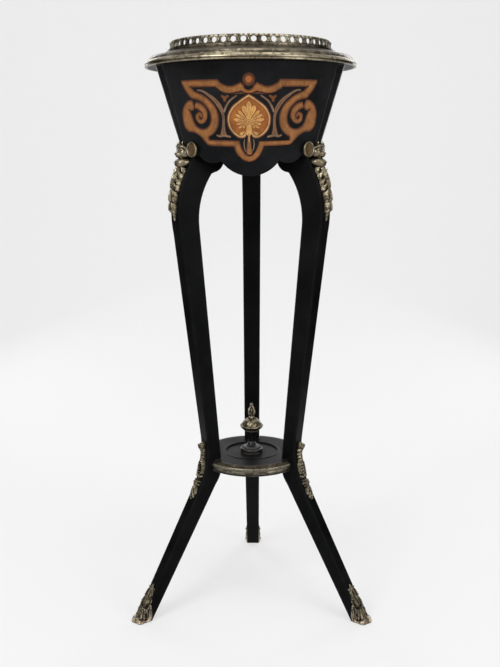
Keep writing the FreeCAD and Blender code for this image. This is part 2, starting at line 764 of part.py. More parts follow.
def leg(side, turn):
    """A cabriole leg: bracket and knee under the tub, a straight taper, an ankle and a splayed foot."""
    body = new_body(f"{side}_leg_wood", turn)
    seat_low = f"({shelf_base} - seat_margin)"
    seat_high = f"({shelf_top} + seat_margin)"
    outer = [(foot_outer, "0"), ("ankle_base_radius", "ankle_base_height"), ("ankle_top_radius", ankle_top)]
    outer += [("knee_base_radius", f"({leg_top} - knee_base_drop)")]
    outer += [("knee_shoulder_radius", f"({leg_top} - knee_shoulder_drop)"), ("crown_radius", leg_top)]
    points = [("foot_inner_radius", "0")] + outer
    points += [("bracket_root_radius", leg_top), ("bracket_toe_radius", f"({leg_top} - bracket_toe_drop)")]
    points += [("(bracket_step_radius - bracket_ledge)", f"({leg_top} - bracket_step_drop)")]
    points += [("bracket_step_radius", f"({leg_top} - bracket_step_drop)")]
    points += [("thigh_radius", f"({leg_top} - thigh_drop)"), ("seat_radius", seat_high), ("seat_radius", seat_low)]
    points += [(heel_radius, heel_level)]
    bends = {2: ("ankle_bend_radius", 1), 4: ("knee_bend_radius", -1), 8: ("bracket_toe_bend_radius", -1)}
    bends.update({10: ("thigh_bend_radius", 1), 13: ("heel_bend_radius", -1)})
    profile = new_sketch(body, "XZ_Plane")
    draw(profile, points, bends)
    pad(body, profile, "leg_width_top", both_ways=True)
    sides = new_sketch(body, "YZ_Plane")
    clear = "(leg_width_top / 2 + overrun)"
    taper = [(leg_half_width("0"), "0"), (leg_half_width("0"), "(0 - overrun)"), (clear, "(0 - overrun)")]
    taper += [(clear, f"({leg_top} + overrun)"), (leg_half_width(leg_top), f"({leg_top} + overrun)")]
    taper += [(leg_half_width(leg_top), leg_top)]
    draw(sides, taper)
    draw(sides, [(f"(0 - {x})", y) for x, y in taper])
    cut_through(body, sides)
    screws = new_sketch(body, "XY_Plane", leg_top)
    for distance in leg_screw_places():
        draw_circle(screws, (distance, "0"), "leg_screw_radius")
    cut_to(body, screws, "leg_screw_bite")
    dowel = new_sketch(body, "YZ_Plane")
    draw_circle(dowel, ("0", f"({shelf_base} + shelf_thick / 2 - dish_depth)"), "dowel_radius")
    drilled = cut_to(body, dowel, "seat_radius + dowel_half_length", along_normal=True)
    doc.recompute()
    rounding = body.newObject("PartDesign::Fillet", f"{body.Name}_arrises")
    rounding.Base = (drilled, outer_arrises(drilled.Shape, outer))
    bind(rounding, Radius="leg_arris_radius")
    return body


def turned_piece(name, points, arcs, place, rotation=Rotation()):
    """A small body turned about an axis of its own, then placed in a leg's frame."""
    body = doc.addObject("PartDesign::Body", name)
    turn_round(body, points, arcs)
    body.Placement = Placement(Vector(), rotation)
    bind(body, Placement__Base__x=place[0], Placement__Base__y=place[1], Placement__Base__z=place[2])
    return body


def ball(name, radius, place):
    """A ball, placed in a leg's frame."""
    thing = doc.addObject("Part::Sphere", name)
    bind(thing, Radius=radius, Placement__Base__x=place[0], Placement__Base__y=place[1], Placement__Base__z=place[2])
    return thing


def face_below_ankle(height):
    """Distance of a leg's outer face from the axis, between the floor and the ankle."""
    return f"({foot_outer} - ({foot_outer} - ankle_base_radius) / ankle_base_height * ({height}))"


def mount_pins(side, turn):
    """The pins that hold a leg's mounts: one for the mask, two for the drop, two for the ankle and two for the sabot."""
    body = new_body(f"{side}_mount_pins", turn)
    mask_face = "(ruff_seat_radius + ruff_half_width)"
    low_level = "(ankle_base_height - pin_inset)"
    faces = [(f"({leg_top} - ruff_drop)", mask_face, f"({mask_face} - crown_radius)")]
    faces.append((f"({leg_top} - drop_top_drop - pin_inset)", "(knee_shoulder_radius + drop_relief)", "(drop_relief + pin_bite)"))
    faces.append((f"({leg_top} - knee_base_drop / 2)", "(knee_base_radius + drop_relief)", "(drop_relief + pin_bite)"))
    faces.append(("(ankle_base_height + ankle_mount_rise - pin_inset)", "(ankle_top_radius + ankle_relief)", "(ankle_relief + pin_bite)"))
    faces.append((low_level, f"({face_below_ankle(low_level)} + ankle_relief)", "(ankle_relief + pin_bite)"))
    for level, face, depth in faces:
        section = new_sketch(body, "YZ_Plane", f"({face} + pin_stand)")
        draw_circle(section, ("0", level), "pin_radius")
        pin = pad(body, section, f"{depth} + pin_stand")
        pin.Reversed = True
    side_face = "(leg_width_foot / 2 + sabot_relief + pin_stand)"
    spot = (f"({face_below_ankle('sabot_height / 2')} - sabot_wrap / 2)", "(sabot_height / 2)")
    for lift, outward in ((side_face, False), (f"(0 - {side_face})", True)):
        section = new_sketch(body, "XZ_Plane", lift)
        draw_circle(section, spot, "pin_radius")
        pin = pad(body, section, "sabot_relief + pin_stand + pin_bite")
        pin.Reversed = not outward
    return keep(body, body.Name)


def knee_mask(side, turn, leg_body, envelope, pins):
    """A beast's mask with round ears on a ruff, seated on the knee and the tub's corner."""
    name = f"{side}_knee_mask"
    level = f"({leg_top} - mask_drop)"
    pieces = [ball(f"{name}_head", "mask_radius", ("mask_seat_radius", "0", level))]
    muzzle_place = ("(mask_seat_radius + muzzle_reach)", "0", f"({level} - muzzle_drop)")
    pieces.append(ball(f"{name}_muzzle", "muzzle_radius", muzzle_place))
    lens = "((ear_radius * ear_radius + ear_thick * ear_thick / 4) / ear_thick)"
    for hand, sign in (("near", "-"), ("far", "+")):
        place = ("mask_seat_radius", f"(0 {sign} ear_offset)", level)
        aside = Rotation(Vector(0, 0, 1), EAR_TURN if sign == "+" else -EAR_TURN)
        points = [("0", "(0 - ear_thick / 2)"), ("ear_radius", "0"), ("0", "(ear_thick / 2)")]
        lying = aside * Rotation(Vector(0, 1, 0), 90)
        pieces.append(turned_piece(f"{name}_{hand}_ear", points, {0: (lens, -1), 1: (lens, -1)}, place, lying))
    flat = "(ruff_half_width - ruff_half_height)"
    points = [("0", "(0 - ruff_half_height)"), (flat, "(0 - ruff_half_height)"), (flat, "ruff_half_height")]
    round_edge = {1: ("ruff_edge_radius", -1)}
    place = ("ruff_seat_radius", "0", f"({leg_top} - ruff_drop)")
    pieces.append(turned_piece(f"{name}_ruff", points + [("0", "ruff_half_height")], round_edge, place))
    whole = doc.addObject("Part::MultiFuse", f"{name}_whole")
    whole.Shapes = pieces
    whole.Placement = turned(turn)
    off_leg = combine("Cut", f"{name}_off_leg", whole, leg_body)
    off_tub = combine("Cut", f"{name}_off_tub", off_leg, envelope)
    return keep(combine("Cut", name, off_tub, pins), name)


def trim(body, shares, half_width, top, length):
    """Trim a padded strip, seen from outside, to a leafy outline given by shares."""
    sketch = new_sketch(body, "YZ_Plane")
    right = [(f"({half_width} * {across})", f"({top} - {length} * {down})") for across, down in shares]
    clear = f"({half_width} + overrun)"
    high = f"({top} + overrun)"
    low = f"({top} - {length} - overrun)"
    side = [("0", high), (clear, high), (clear, low), ("0", low), ("0", f"({top} - {length})")]
    outline = side + right[::-1] + [("0", top)]
    draw(sketch, outline)
    mirrored = [(x if x == "0" else f"(0 - {x})", y) for x, y in outline]
    other = new_sketch(body, "YZ_Plane")
    draw(other, mirrored)
    cut_through(body, sketch)
    cut_through(body, other)


def knee_drop(side, turn, leg_body, mask, pins):
    """The leaf drop down the front of the knee, under the mask's ruff."""
    body = new_body(f"{side}_knee_drop_leaf", turn)
    top = f"({leg_top} - drop_top_drop)"
    tip = f"({leg_top} - drop_tip_drop)"
    strip = new_sketch(body, "XZ_Plane")
    inside = "crown_radius"
    points = [(inside, tip), ("(knee_base_radius + drop_relief)", tip)]
    points += [("(knee_shoulder_radius + drop_relief)", top), (inside, top)]
    draw(strip, points, {1: ("(knee_bend_radius + drop_relief)", -1)})
    pad(body, strip, "2 * drop_half_width + overrun", both_ways=True)
    trim(body, DROP_SHARES, "drop_half_width", top, "(drop_tip_drop - drop_top_drop)")
    name = f"{side}_knee_drop"
    off_leg = combine("Cut", f"{name}_off_leg", body, leg_body)
    off_mask = combine("Cut", f"{name}_off_mask", off_leg, mask)
    return keep(combine("Cut", name, off_mask, pins), name)


def ankle_mount(side, turn, leg_body, pins):
    """The foliate mount on the ankle: a scroll, an open oval, a rosette and a tail leaf."""
    body = new_body(f"{side}_ankle_leaf", turn)
    name = f"{side}_ankle_mount"
    tip, top = "(ankle_base_height - ankle_mount_fall)", "(ankle_base_height + ankle_mount_rise)"
    tip_face = face_below_ankle(tip)
    shin = f"((knee_base_radius - ankle_top_radius) / ({leg_top} - knee_base_drop - {ankle_top}))"
    top_face = f"(ankle_top_radius - ({ankle_top} - {top}) * {shin})"
    points = [(f"({tip_face} - ankle_sink)", tip), (f"({tip_face} + ankle_relief)", tip)]
    points += [("(ankle_base_radius + ankle_relief)", "ankle_base_height")]
    points += [(f"({top_face} + ankle_relief)", top), (f"({top_face} - ankle_sink)", top)]
    points += [("(ankle_base_radius - ankle_sink)", "ankle_base_height")]
    bends = {2: ("(ankle_bend_radius - ankle_relief)", 1), 4: ("(ankle_bend_radius + ankle_sink)", -1)}
    strip = new_sketch(body, "XZ_Plane")
    draw(strip, points, bends)
    pad(body, strip, "2 * ankle_mount_half_width + overrun", both_ways=True)
    length = "(ankle_mount_rise + ankle_mount_fall)"
    trim(body, ANKLE_SHARES, "ankle_mount_half_width", top, length)
    eye = new_sketch(body, "YZ_Plane")
    right = [(f"(ankle_mount_half_width * {across})", f"({top} - {length} * {down})") for across, down in ANKLE_EYE_SHARES]
    left = [(f"(0 - {x})", y) for x, y in right[1:-1][::-1]]
    draw(eye, right + left)
    cut_through(body, eye)
    button = [("0", "(0 - rosette_depth)"), ("rosette_radius", "(0 - rosette_depth)"), ("rosette_radius", "0")]
    crown = "((rosette_radius * rosette_radius + rosette_depth * rosette_depth) / (2 * rosette_depth))"
    seat = ("(ankle_base_radius - ankle_relief / 2)", "0", "(ankle_base_height + rosette_rise)")
    tilt = Rotation(Vector(0, 1, 0), 90 - ROSETTE_TILT)
    rosette = turned_piece(f"{name}_rosette", button + [("0", "rosette_depth")], {2: (crown, -1)}, seat, tilt)
    placed = doc.addObject("Part::Compound", f"{name}_rosette_placed")
    placed.Links = [rosette]
    placed.Placement = turned(turn)
    whole = doc.addObject("Part::MultiFuse", f"{name}_whole")
    whole.Shapes = [body, placed]
    off_leg = combine("Cut", f"{name}_off_leg", whole, leg_body)
    return keep(combine("Cut", name, off_leg, pins), name)


def sabot(side, turn, leg_body, pins):
    """The leaf shoe round the front of the foot, with a rolled toe."""
    body = new_body(f"{side}_sabot_shell", turn)
    name = f"{side}_sabot"
    front = face_below_ankle("sabot_height")
    points = [(f"({foot_outer} - sabot_wrap)", "0"), (toe_middle, "0")]
    points += [(f"({foot_outer} + sabot_relief)", "(toe_radius * 2)")]
    points += [(f"({front} + sabot_relief)", "sabot_height"), (f"({front} - sabot_wrap)", "sabot_height")]
    shell = new_sketch(body, "XZ_Plane")
    draw(shell, points)
    pad(body, shell, "leg_width_foot + 2 * sabot_relief", both_ways=True)
    toe = new_sketch(body, "XZ_Plane")
    draw_circle(toe, (toe_middle, "toe_radius"), "toe_radius")
    pad(body, toe, "leg_width_foot", both_ways=True)
    off_leg = combine("Cut", f"{name}_off_leg", body, leg_body)
    return keep(combine("Cut", name, off_leg, pins), name)


def shelf():
    """The round shelf: a dished top, a rebate for the edge strips and a notch for each leg."""
    body = new_body("shelf", LEG_TURNS["back"])
    bore = "(rod_radius + rod_play)"
    strip_base = f"({shelf_top} - strip_height)"
    rebate = "(shelf_radius - strip_depth)"
    points = [(bore, shelf_base), ("shelf_radius", shelf_base), ("shelf_radius", strip_base), (rebate, strip_base)]
    points += [(rebate, shelf_top), ("(dish_radius + dish_lip_width)", shelf_top), ("dish_radius", shelf_top)]
    points += [("(dish_radius - dish_depth)", dish_level), (bore, dish_level)]
    lip = "((dish_lip_width * dish_lip_width / 4 + dish_lip_height * dish_lip_height) / (2 * dish_lip_height))"
    turn_round(body, points, {5: (lip, -1)})
    notch = new_sketch(body, "XY_Plane", f"({shelf_top} + dish_lip_height)")
    half = f"({leg_half_width(shelf_top)} + notch_play)"
    beyond = "(shelf_radius + overrun)"
    draw(notch, [("seat_radius", f"(0 - {half})"), (beyond, f"(0 - {half})"), (beyond, half), ("seat_radius", half)])
    notches = cut_to(body, notch, "shelf_thick + dish_lip_height")
    dowel = new_sketch(body, "YZ_Plane", "(seat_radius - dowel_half_length)")
    draw_circle(dowel, ("0", f"({shelf_base} + shelf_thick / 2 - dish_depth)"), "dowel_radius")
    drilled = cut_to(body, dowel, "dowel_half_length + overrun", along_normal=True)
    repeat_round(body, [notches, drilled], len(LEG_TURNS))
    return keep(body, body.Name)


def shelf_strip(panel, turn):
    """One milled bronze strip of the shelf's edge, from leg to leg."""
    body = new_body(f"{panel}_shelf_strip", turn - 90)
    base = f"({shelf_top} - strip_height)"
    inside = "(shelf_radius - strip_depth)"
    points = [(inside, base), ("shelf_radius", base), ("shelf_radius", shelf_top), (inside, shelf_top)]
    sketch = new_sketch(body, "XZ_Plane")
    reach = "((strip_height * strip_height / 4 + strip_bulge * strip_bulge) / (2 * strip_bulge))"
    draw(sketch, points, {1: (reach, -1)})
    strip = add(body, "Revolution", sketch)
    strip.ReferenceAxis = (sketch, ["V_Axis"])
    strip.Midplane = True
    blocked = f"asin(({leg_half_width(shelf_top)} + notch_play + strip_end_play) / {inside})"
    bind(strip, Angle=f"120 deg - 2 * {blocked}")
    return keep(body, body.Name)


def finial():
    """The finial's stacked pieces, on a rod that runs through the shelf to a nut."""
    bore = "(rod_radius + rod_play)"
    ring_top = f"({dish_level} + base_ring_height)"
    vase_top = f"({ring_top} + vase_height)"
    cap_top = f"({vase_top} + cap_height)"
    ring = new_body("finial_base_ring")
    points = [(bore, dish_level), ("base_ring_radius", dish_level), ("base_ring_radius", f"({ring_top} - base_ring_round)")]
    points += [("(base_ring_radius - base_ring_round)", ring_top), (bore, ring_top)]
    turn_round(ring, points, {2: ("base_ring_round", -1)})
    keep(ring, ring.Name)
    vase = new_body("finial_vase")
    points = [(bore, ring_top), ("vase_foot_radius", ring_top), ("vase_foot_radius", f"({ring_top} + vase_foot_height / 2)")]
    points += [("vase_neck_radius", f"({ring_top} + vase_neck_rise)"), ("vase_shoulder_radius", vase_top), (bore, vase_top)]
    turn_round(vase, points, {2: ("vase_foot_radius", 1), 3: ("vase_side_radius", 1)})
    keep(vase, vase.Name)
    cap = new_body("finial_cap")
    lip = f"({vase_top} + cap_lip_height)"
    points = [(bore, vase_top), ("vase_shoulder_radius", vase_top), ("cap_radius", lip)]
    points += [("cap_bell_radius", f"({lip} + cap_edge_thick)"), ("cap_top_radius", cap_top), (bore, cap_top)]
    turn_round(cap, points, {1: ("cap_bowl_radius", -1), 3: ("cap_bell_side_radius", -1)})
    keep(cap, cap.Name)
    flame(cap_top)
    nut_top = f"({shelf_base} - washer_thick)"
    rod = new_body("finial_rod")
    length = f"({cap_top} - {nut_top} + nut_height + rod_radius)"
    section = new_sketch(rod, "XY_Plane", f"({nut_top} - nut_height - rod_radius)")
    draw_circle(section, ("0", "0"), "rod_radius")
    pad(rod, section, length)
    keep(rod, rod.Name)
    nut = new_body("finial_nut")
    section = new_sketch(nut, "XY_Plane", nut_top)
    corners = [(1, 0), (0.5, 1), (-0.5, 1), (-1, 0), (-0.5, -1), (0.5, -1)]
    draw(section, [(f"(nut_radius * {x})", f"(nut_radius * sqrt(3) / 2 * {y})") for x, y in corners])
    draw_circle(section, ("0", "0"), bore)
    body_of_nut = pad(nut, section, "nut_height")
    body_of_nut.Reversed = True
    keep(nut, nut.Name)
    washer = new_body("finial_washer")
    points = [(bore, nut_top), ("washer_radius", nut_top), ("washer_radius", shelf_base), (bore, shelf_base)]
    turn_round(washer, points)
    keep(washer, washer.Name)


def flame(cap_top):
    """The openwork flame: a ball, two crossed pointed-oval leaves with a bud inside them, and a bead on top."""
    loop_low = f"({cap_top} + flame_ball_height + flame_neck)"
    loop_high = f"({loop_low} + 2 * flame_loop_half_height)"
    middle = f"({loop_low} + flame_loop_half_height)"
    opening = f"({loop_low} + flame_tip_thick)"
    body = new_body("finial_flame", FLAME_TURN)
    points = [("0", cap_top), ("flame_ball_radius", cap_top), ("flame_stem_radius", f"({cap_top} + flame_ball_height)")]
    points += [("flame_stem_radius", opening), ("flame_stalk_radius", opening)]
    points += [("flame_stalk_radius", f"({middle} - flame_bud_radius)"), ("flame_bud_radius", middle)]
    points += [("0", f"({middle} + flame_bud_radius)")]
    turn_round(body, points, {1: ("flame_ball_radius", -1), 5: ("flame_bud_radius", -1), 6: ("flame_bud_radius", -1)})
    bead_low = f"({loop_high} - flame_bead_sink)"
    bead = [("0", bead_low), ("flame_bead_radius", f"({bead_low} + flame_bead_radius)")]
    bead.append(("0", f"({bead_low} + 2 * flame_bead_radius)"))
    for role in ("XZ_Plane", "YZ_Plane"):
        leaf = new_sketch(body, role)
        for half_width, half_height in (("flame_loop_half_width", "flame_loop_half_height"),
                                        ("(flame_loop_half_width - flame_wire)", "(flame_loop_half_height - flame_tip_thick)")):
            bow = f"(({half_width} * {half_width} + {half_height} * {half_height}) / (2 * {half_width}))"
            ends = [("0", f"({middle} - {half_height})"), ("0", f"({middle} + {half_height})")]
            draw(leaf, ends, {0: (bow, -1), 1: (bow, -1)})
        pad(body, leaf, "flame_wire", both_ways=True)
    turn_round(body, bead, {0: ("flame_bead_radius", -1), 1: ("flame_bead_radius", -1)})
    return keep(body, body.Name)


def leg_screws():
    """Two round-headed screws down through the tub's floor into each leg."""
    body = new_body("leg_screws", LEG_TURNS["back"])
    top = f"({leg_top} + floor_thick)"
    shanks = new_sketch(body, "XY_Plane", top)
    heads = new_sketch(body, "XY_Plane", top)
    for distance in leg_screw_places():
        draw_circle(shanks, (distance, "0"), "leg_screw_radius")
        draw_circle(heads, (distance, "0"), "leg_screw_head_radius")
    upper = pad(body, heads, "leg_screw_head_height")
    lower = pad(body, shanks, "floor_thick + leg_screw_bite")
    lower.Reversed = True
    repeat_round(body, [upper, lower], len(LEG_TURNS))
    return keep(body, body.Name)


def rim_screws():
    """A countersunk screw down through the top board into each corner block."""
    body = new_body("rim_screws", LEG_TURNS["back"])
    place = (rim_screw_place(), "0")
    heads = new_sketch(body, "XY_Plane", board_top)
    draw_circle(heads, place, "rim_screw_head_radius")
    shanks = new_sketch(body, "XY_Plane", f"({board_top} - rim_screw_head_height)")
    draw_circle(shanks, place, "rim_screw_radius")
    upper = pad(body, heads, "rim_screw_head_height")
    lower = pad(body, shanks, "board_thick - rim_screw_head_height + rim_screw_bite")
    upper.Reversed = True
    lower.Reversed = True
    repeat_round(body, [upper, lower], len(LEG_TURNS))
    return keep(body, body.Name)


def shelf_dowels():
    """A dowel from the shelf into each leg."""
    body = new_body("shelf_dowels", LEG_TURNS["back"])
    section = new_sketch(body, "YZ_Plane", "(seat_radius - dowel_half_length)")
    draw_circle(section, ("0", f"({shelf_base} + shelf_thick / 2 - dish_depth)"), "dowel_radius")
    dowel = pad(body, section, "2 * dowel_half_length")
    repeat_round(body, [dowel], len(LEG_TURNS))
    return keep(body, body.Name)


def build():
    """Make every sub-part."""
    for side, turn in PANEL_TURNS.items():
        bowed_panel(f"{side}_panel", turn, "veneer_wall", whole_wall)
        bowed_panel(f"{side}_veneer", turn, "0", "veneer_wall")
    for side, turn in LEG_TURNS.items():
        corner_post(side, turn)
        corner_block(side, turn)
    tub_floor()
    top_board()
    rim_moulding()
    collar()
    gallery()
    liner()
    for side, turn in HANDLE_TURNS.items():
        handle_lugs(side, turn)
        bail(side, turn)
    envelope = tub_envelope()
    for side, turn in LEG_TURNS.items():
        leg_body = leg(side, turn)
        pins = mount_pins(side, turn)
        keep(combine("Cut", f"{side}_leg", leg_body, pins), f"{side}_leg")
        mask = knee_mask(side, turn, leg_body, envelope, pins)
        knee_drop(side, turn, leg_body, mask, pins)
        ankle_mount(side, turn, leg_body, pins)
        sabot(side, turn, leg_body, pins)
    shelf()
    for side, turn in PANEL_TURNS.items():
        shelf_strip(side, turn)
    finial()
    leg_screws()
    rim_screws()
    shelf_dowels()
    doc.recompute()


def check():
    """Stop if anything in the document failed, or a sub-part isn't sound."""
    for thing in doc.Objects:
        if "Invalid" in thing.State or "Error" in thing.State:
            raise RuntimeError(f"{thing.Name} failed: {thing.State}")
    for node in nodes:
        if node.Shape.isNull() or not node.Shape.isValid() or not node.Shape.Solids:
            raise RuntimeError(f"{node.Label} has no sound solid")


def write():
    """Write each sub-part to a STEP file named after it."""
    os.makedirs("parts", exist_ok=True)
    for node in nodes:
        node.Shape.exportStep(f"parts/{node.Label}.step")
        print(node.Label, len(node.Shape.Solids), round(node.Shape.Volume))


build()
check()
write()
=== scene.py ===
import json
import math

import bmesh
import bpy
import numpy as np
from mathutils import Matrix, Vector
from mathutils.bvhtree import BVHTree


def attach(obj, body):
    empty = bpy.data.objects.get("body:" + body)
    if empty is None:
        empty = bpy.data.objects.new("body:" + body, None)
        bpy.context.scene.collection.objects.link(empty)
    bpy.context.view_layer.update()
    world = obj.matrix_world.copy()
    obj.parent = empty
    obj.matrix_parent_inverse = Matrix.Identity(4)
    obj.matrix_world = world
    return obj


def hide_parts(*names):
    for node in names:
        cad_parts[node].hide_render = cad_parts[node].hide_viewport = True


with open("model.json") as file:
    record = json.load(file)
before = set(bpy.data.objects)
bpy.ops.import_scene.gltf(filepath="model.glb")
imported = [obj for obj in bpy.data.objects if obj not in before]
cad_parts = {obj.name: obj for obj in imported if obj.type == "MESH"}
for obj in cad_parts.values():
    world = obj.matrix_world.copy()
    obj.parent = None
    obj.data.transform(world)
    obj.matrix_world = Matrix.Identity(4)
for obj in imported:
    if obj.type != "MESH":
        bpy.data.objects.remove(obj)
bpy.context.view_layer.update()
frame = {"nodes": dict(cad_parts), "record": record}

# Looks of the tripod jardiniere. Lengths are millimetres until a mesh is made, and then metres.
MM = 0.001
TAU = 2 * math.pi
LEG_TURNS = {"left": 210, "right": 330, "back": 90}
PANEL_TURNS = {"front": 0, "right": 120, "left": 240}


# Materials. Colours are linear red, green and blue, and lengths in the shaders are metres.

LACQUER_DEEP, LACQUER_CLOUD = (0.0016, 0.0017, 0.0019), (0.0046, 0.0047, 0.0052)
# The last colour here is the edges' rubbed wear together with a painted highlight along the arrises.
LACQUER_GRAIN, LACQUER_WORN_AND_HIGHLIGHT = (0.0085, 0.0078, 0.0070), (0.052, 0.046, 0.040)
BRONZE_DULL, BRONZE_GOLD = (0.25, 0.205, 0.128), (0.46, 0.395, 0.27)
# The ridge and toe colours are rubbed bronze together with a painted highlight.
BRONZE_RIDGE_RUB_AND_HIGHLIGHT, BRONZE_TOE_WEAR_AND_HIGHLIGHT = (0.78, 0.70, 0.525), (0.62, 0.50, 0.36)
BRONZE_SOOT, BRONZE_BROWN = (0.012, 0.009, 0.006), (0.030, 0.022, 0.014)
ZINC_DARK, ZINC_LIGHT, ZINC_STAIN = (0.23, 0.24, 0.245), (0.31, 0.32, 0.325), (0.12, 0.118, 0.11)
WOOD_DARK, WOOD_LIGHT = (0.085, 0.05, 0.027), (0.21, 0.135, 0.075)
STEEL_RUST, STEEL_CLEAN = (0.09, 0.075, 0.06), (0.34, 0.33, 0.31)
FLOOR_GREY, FLOOR_GLOW, WORLD_PALE = (0.80, 0.80, 0.80), (0.93, 0.93, 0.93), (0.84, 0.84, 0.84)
FLAG_BLACK = (0.004, 0.004, 0.004)
WORN_EDGE_REACH = 0.003
RIDGE_REACH = 0.0022
HOLLOW_REACH = 0.0045
SKIN_DEPTH = 0.0002
SAWN_DEPTH = 0.0003
TOE_TOP, TOE_BASE = 0.02, 0.006
RIDGE_GAIN = 1.5
PATCH_EDGE = 0.12


def node(tree, kind, inputs=None, **settings):
    """A shader node with its settings and inputs, each a value or another node's output."""
    made = tree.nodes.new(kind)
    for name, value in settings.items():
        setattr(made, name, value)
    for key, value in (inputs or {}).items():
        socket = made.inputs[key]
        if isinstance(value, bpy.types.NodeSocket):
            tree.links.new(value, socket)
        else:
            socket.default_value = value
    return made


def new_material(name, **fixed):
    """A material, its tree and its shader, with the shader's fixed values set."""
    material = bpy.data.materials.new(name)
    material.use_nodes = True
    tree = material.node_tree
    shader = tree.nodes["Principled BSDF"]
    for key, value in fixed.items():
        shader.inputs[key.replace("_", " ")].default_value = value
    return material, tree, shader


def tinted(colour, factor):
    """A colour made lighter or darker."""
    return tuple(factor * c for c in colour)


def opaque(colour):
    """A colour with a full fourth value, as a socket holds it."""
    return (*colour, 1)


def place(tree, stretch=(1, 1, 1), turn=(0, 0, 0)):
    """Object coordinates in metres, multiplied and turned."""
    coords = node(tree, "ShaderNodeTexCoord").outputs["Object"]
    return node(tree, "ShaderNodeMapping", {"Vector": coords, "Scale": stretch, "Rotation": turn}).outputs[0]


def noise(tree, scale, detail, rough=0.55, warp=0.0, **layout):
    """Noise over the object. layout goes to place."""
    inputs = {"Vector": place(tree, **layout), "Scale": scale, "Detail": detail, "Roughness": rough}
    return node(tree, "ShaderNodeTexNoise", {**inputs, "Distortion": warp}).outputs["Fac"]


def ramp(tree, factor, *stops):
    """A colour ramp, each stop a position and a grey or a colour."""
    made = node(tree, "ShaderNodeValToRGB", {"Fac": factor})
    for point, (position, colour) in zip(made.color_ramp.elements, stops, strict=True):
        point.position = position
        point.color = opaque(colour if isinstance(colour, tuple) else (colour, colour, colour))
    return made.outputs["Color"]


def mix(tree, factor, one, other):
    """A mix of two colours. The node's sockets 0, 6 and 7 are its factor and its two colours."""
    made = node(tree, "ShaderNodeMix", data_type="RGBA")
    for index, value in ((0, factor), (6, one), (7, other)):
        if isinstance(value, bpy.types.NodeSocket):
            tree.links.new(value, made.inputs[index])
        else:
            made.inputs[index].default_value = opaque(value) if isinstance(value, tuple) else value
    return made.outputs[2]


def bump(tree, shader, height, strength, depth=SKIN_DEPTH):
    """Bump on a shader."""
    made = node(tree, "ShaderNodeBump", {"Height": height, "Strength": strength, "Distance": depth})
    tree.links.new(made.outputs[0], shader.inputs["Normal"])


def openness(tree, reach, samples, inside=False):
    """How open the surface is here: dark in its hollows or, looked at from inside, dark on its edges."""
    settings = {"samples": samples, "inside": inside}
    return node(tree, "ShaderNodeAmbientOcclusion", {"Distance": reach}, **settings).outputs["AO"]


def lacquer(name, tint, edges=0.8, gloss=0.035, wear_and_highlight=1.0):
    """Ebonised wood: black lacquer with faint grain, softly mottled, rubbed a little on its edges, where the
    lighter colour is also a painted highlight.
    """
    material, tree, shader = new_material(name, Specular_IOR_Level=gloss)
    long_grain = noise(tree, scale=420, detail=5, rough=0.6, stretch=(1, 1, 0.06))
    cloud = noise(tree, scale=14, detail=5, rough=0.6)
    fine = noise(tree, scale=900, detail=3)
    mottle = ramp(tree, cloud, (0.35, 0.0), (0.7, 1.0))
    base = mix(tree, mottle, tinted(LACQUER_DEEP, tint), tinted(LACQUER_CLOUD, tint))
    streaks = ramp(tree, long_grain, (0.58, 0.0), (0.82, 0.4))
    base = mix(tree, streaks, base, tinted(LACQUER_GRAIN, tint))
    # The lighter colour on the edges is partly wear and partly a painted highlight along the arrises.
    if edges:
        patches = noise(tree, scale=46, detail=5, rough=0.6)
        edge = openness(tree, WORN_EDGE_REACH, samples=5, inside=True)
        rubbed_and_highlight = ramp(tree, edge, (0.55, edges), (0.88, 0.0))
        share = mix(tree, ramp(tree, patches, (0.4, 0.25), (0.65, 1.0)), (0.0, 0.0, 0.0), rubbed_and_highlight)
        base = mix(tree, share, base, tinted(LACQUER_WORN_AND_HIGHLIGHT, wear_and_highlight))
    tree.links.new(base, shader.inputs["Base Color"])
    tree.links.new(ramp(tree, cloud, (0.3, 0.3), (0.75, 0.48)), shader.inputs["Roughness"])
    bump(tree, shader, mix(tree, 0.3, long_grain, fine), strength=0.12)
    return material


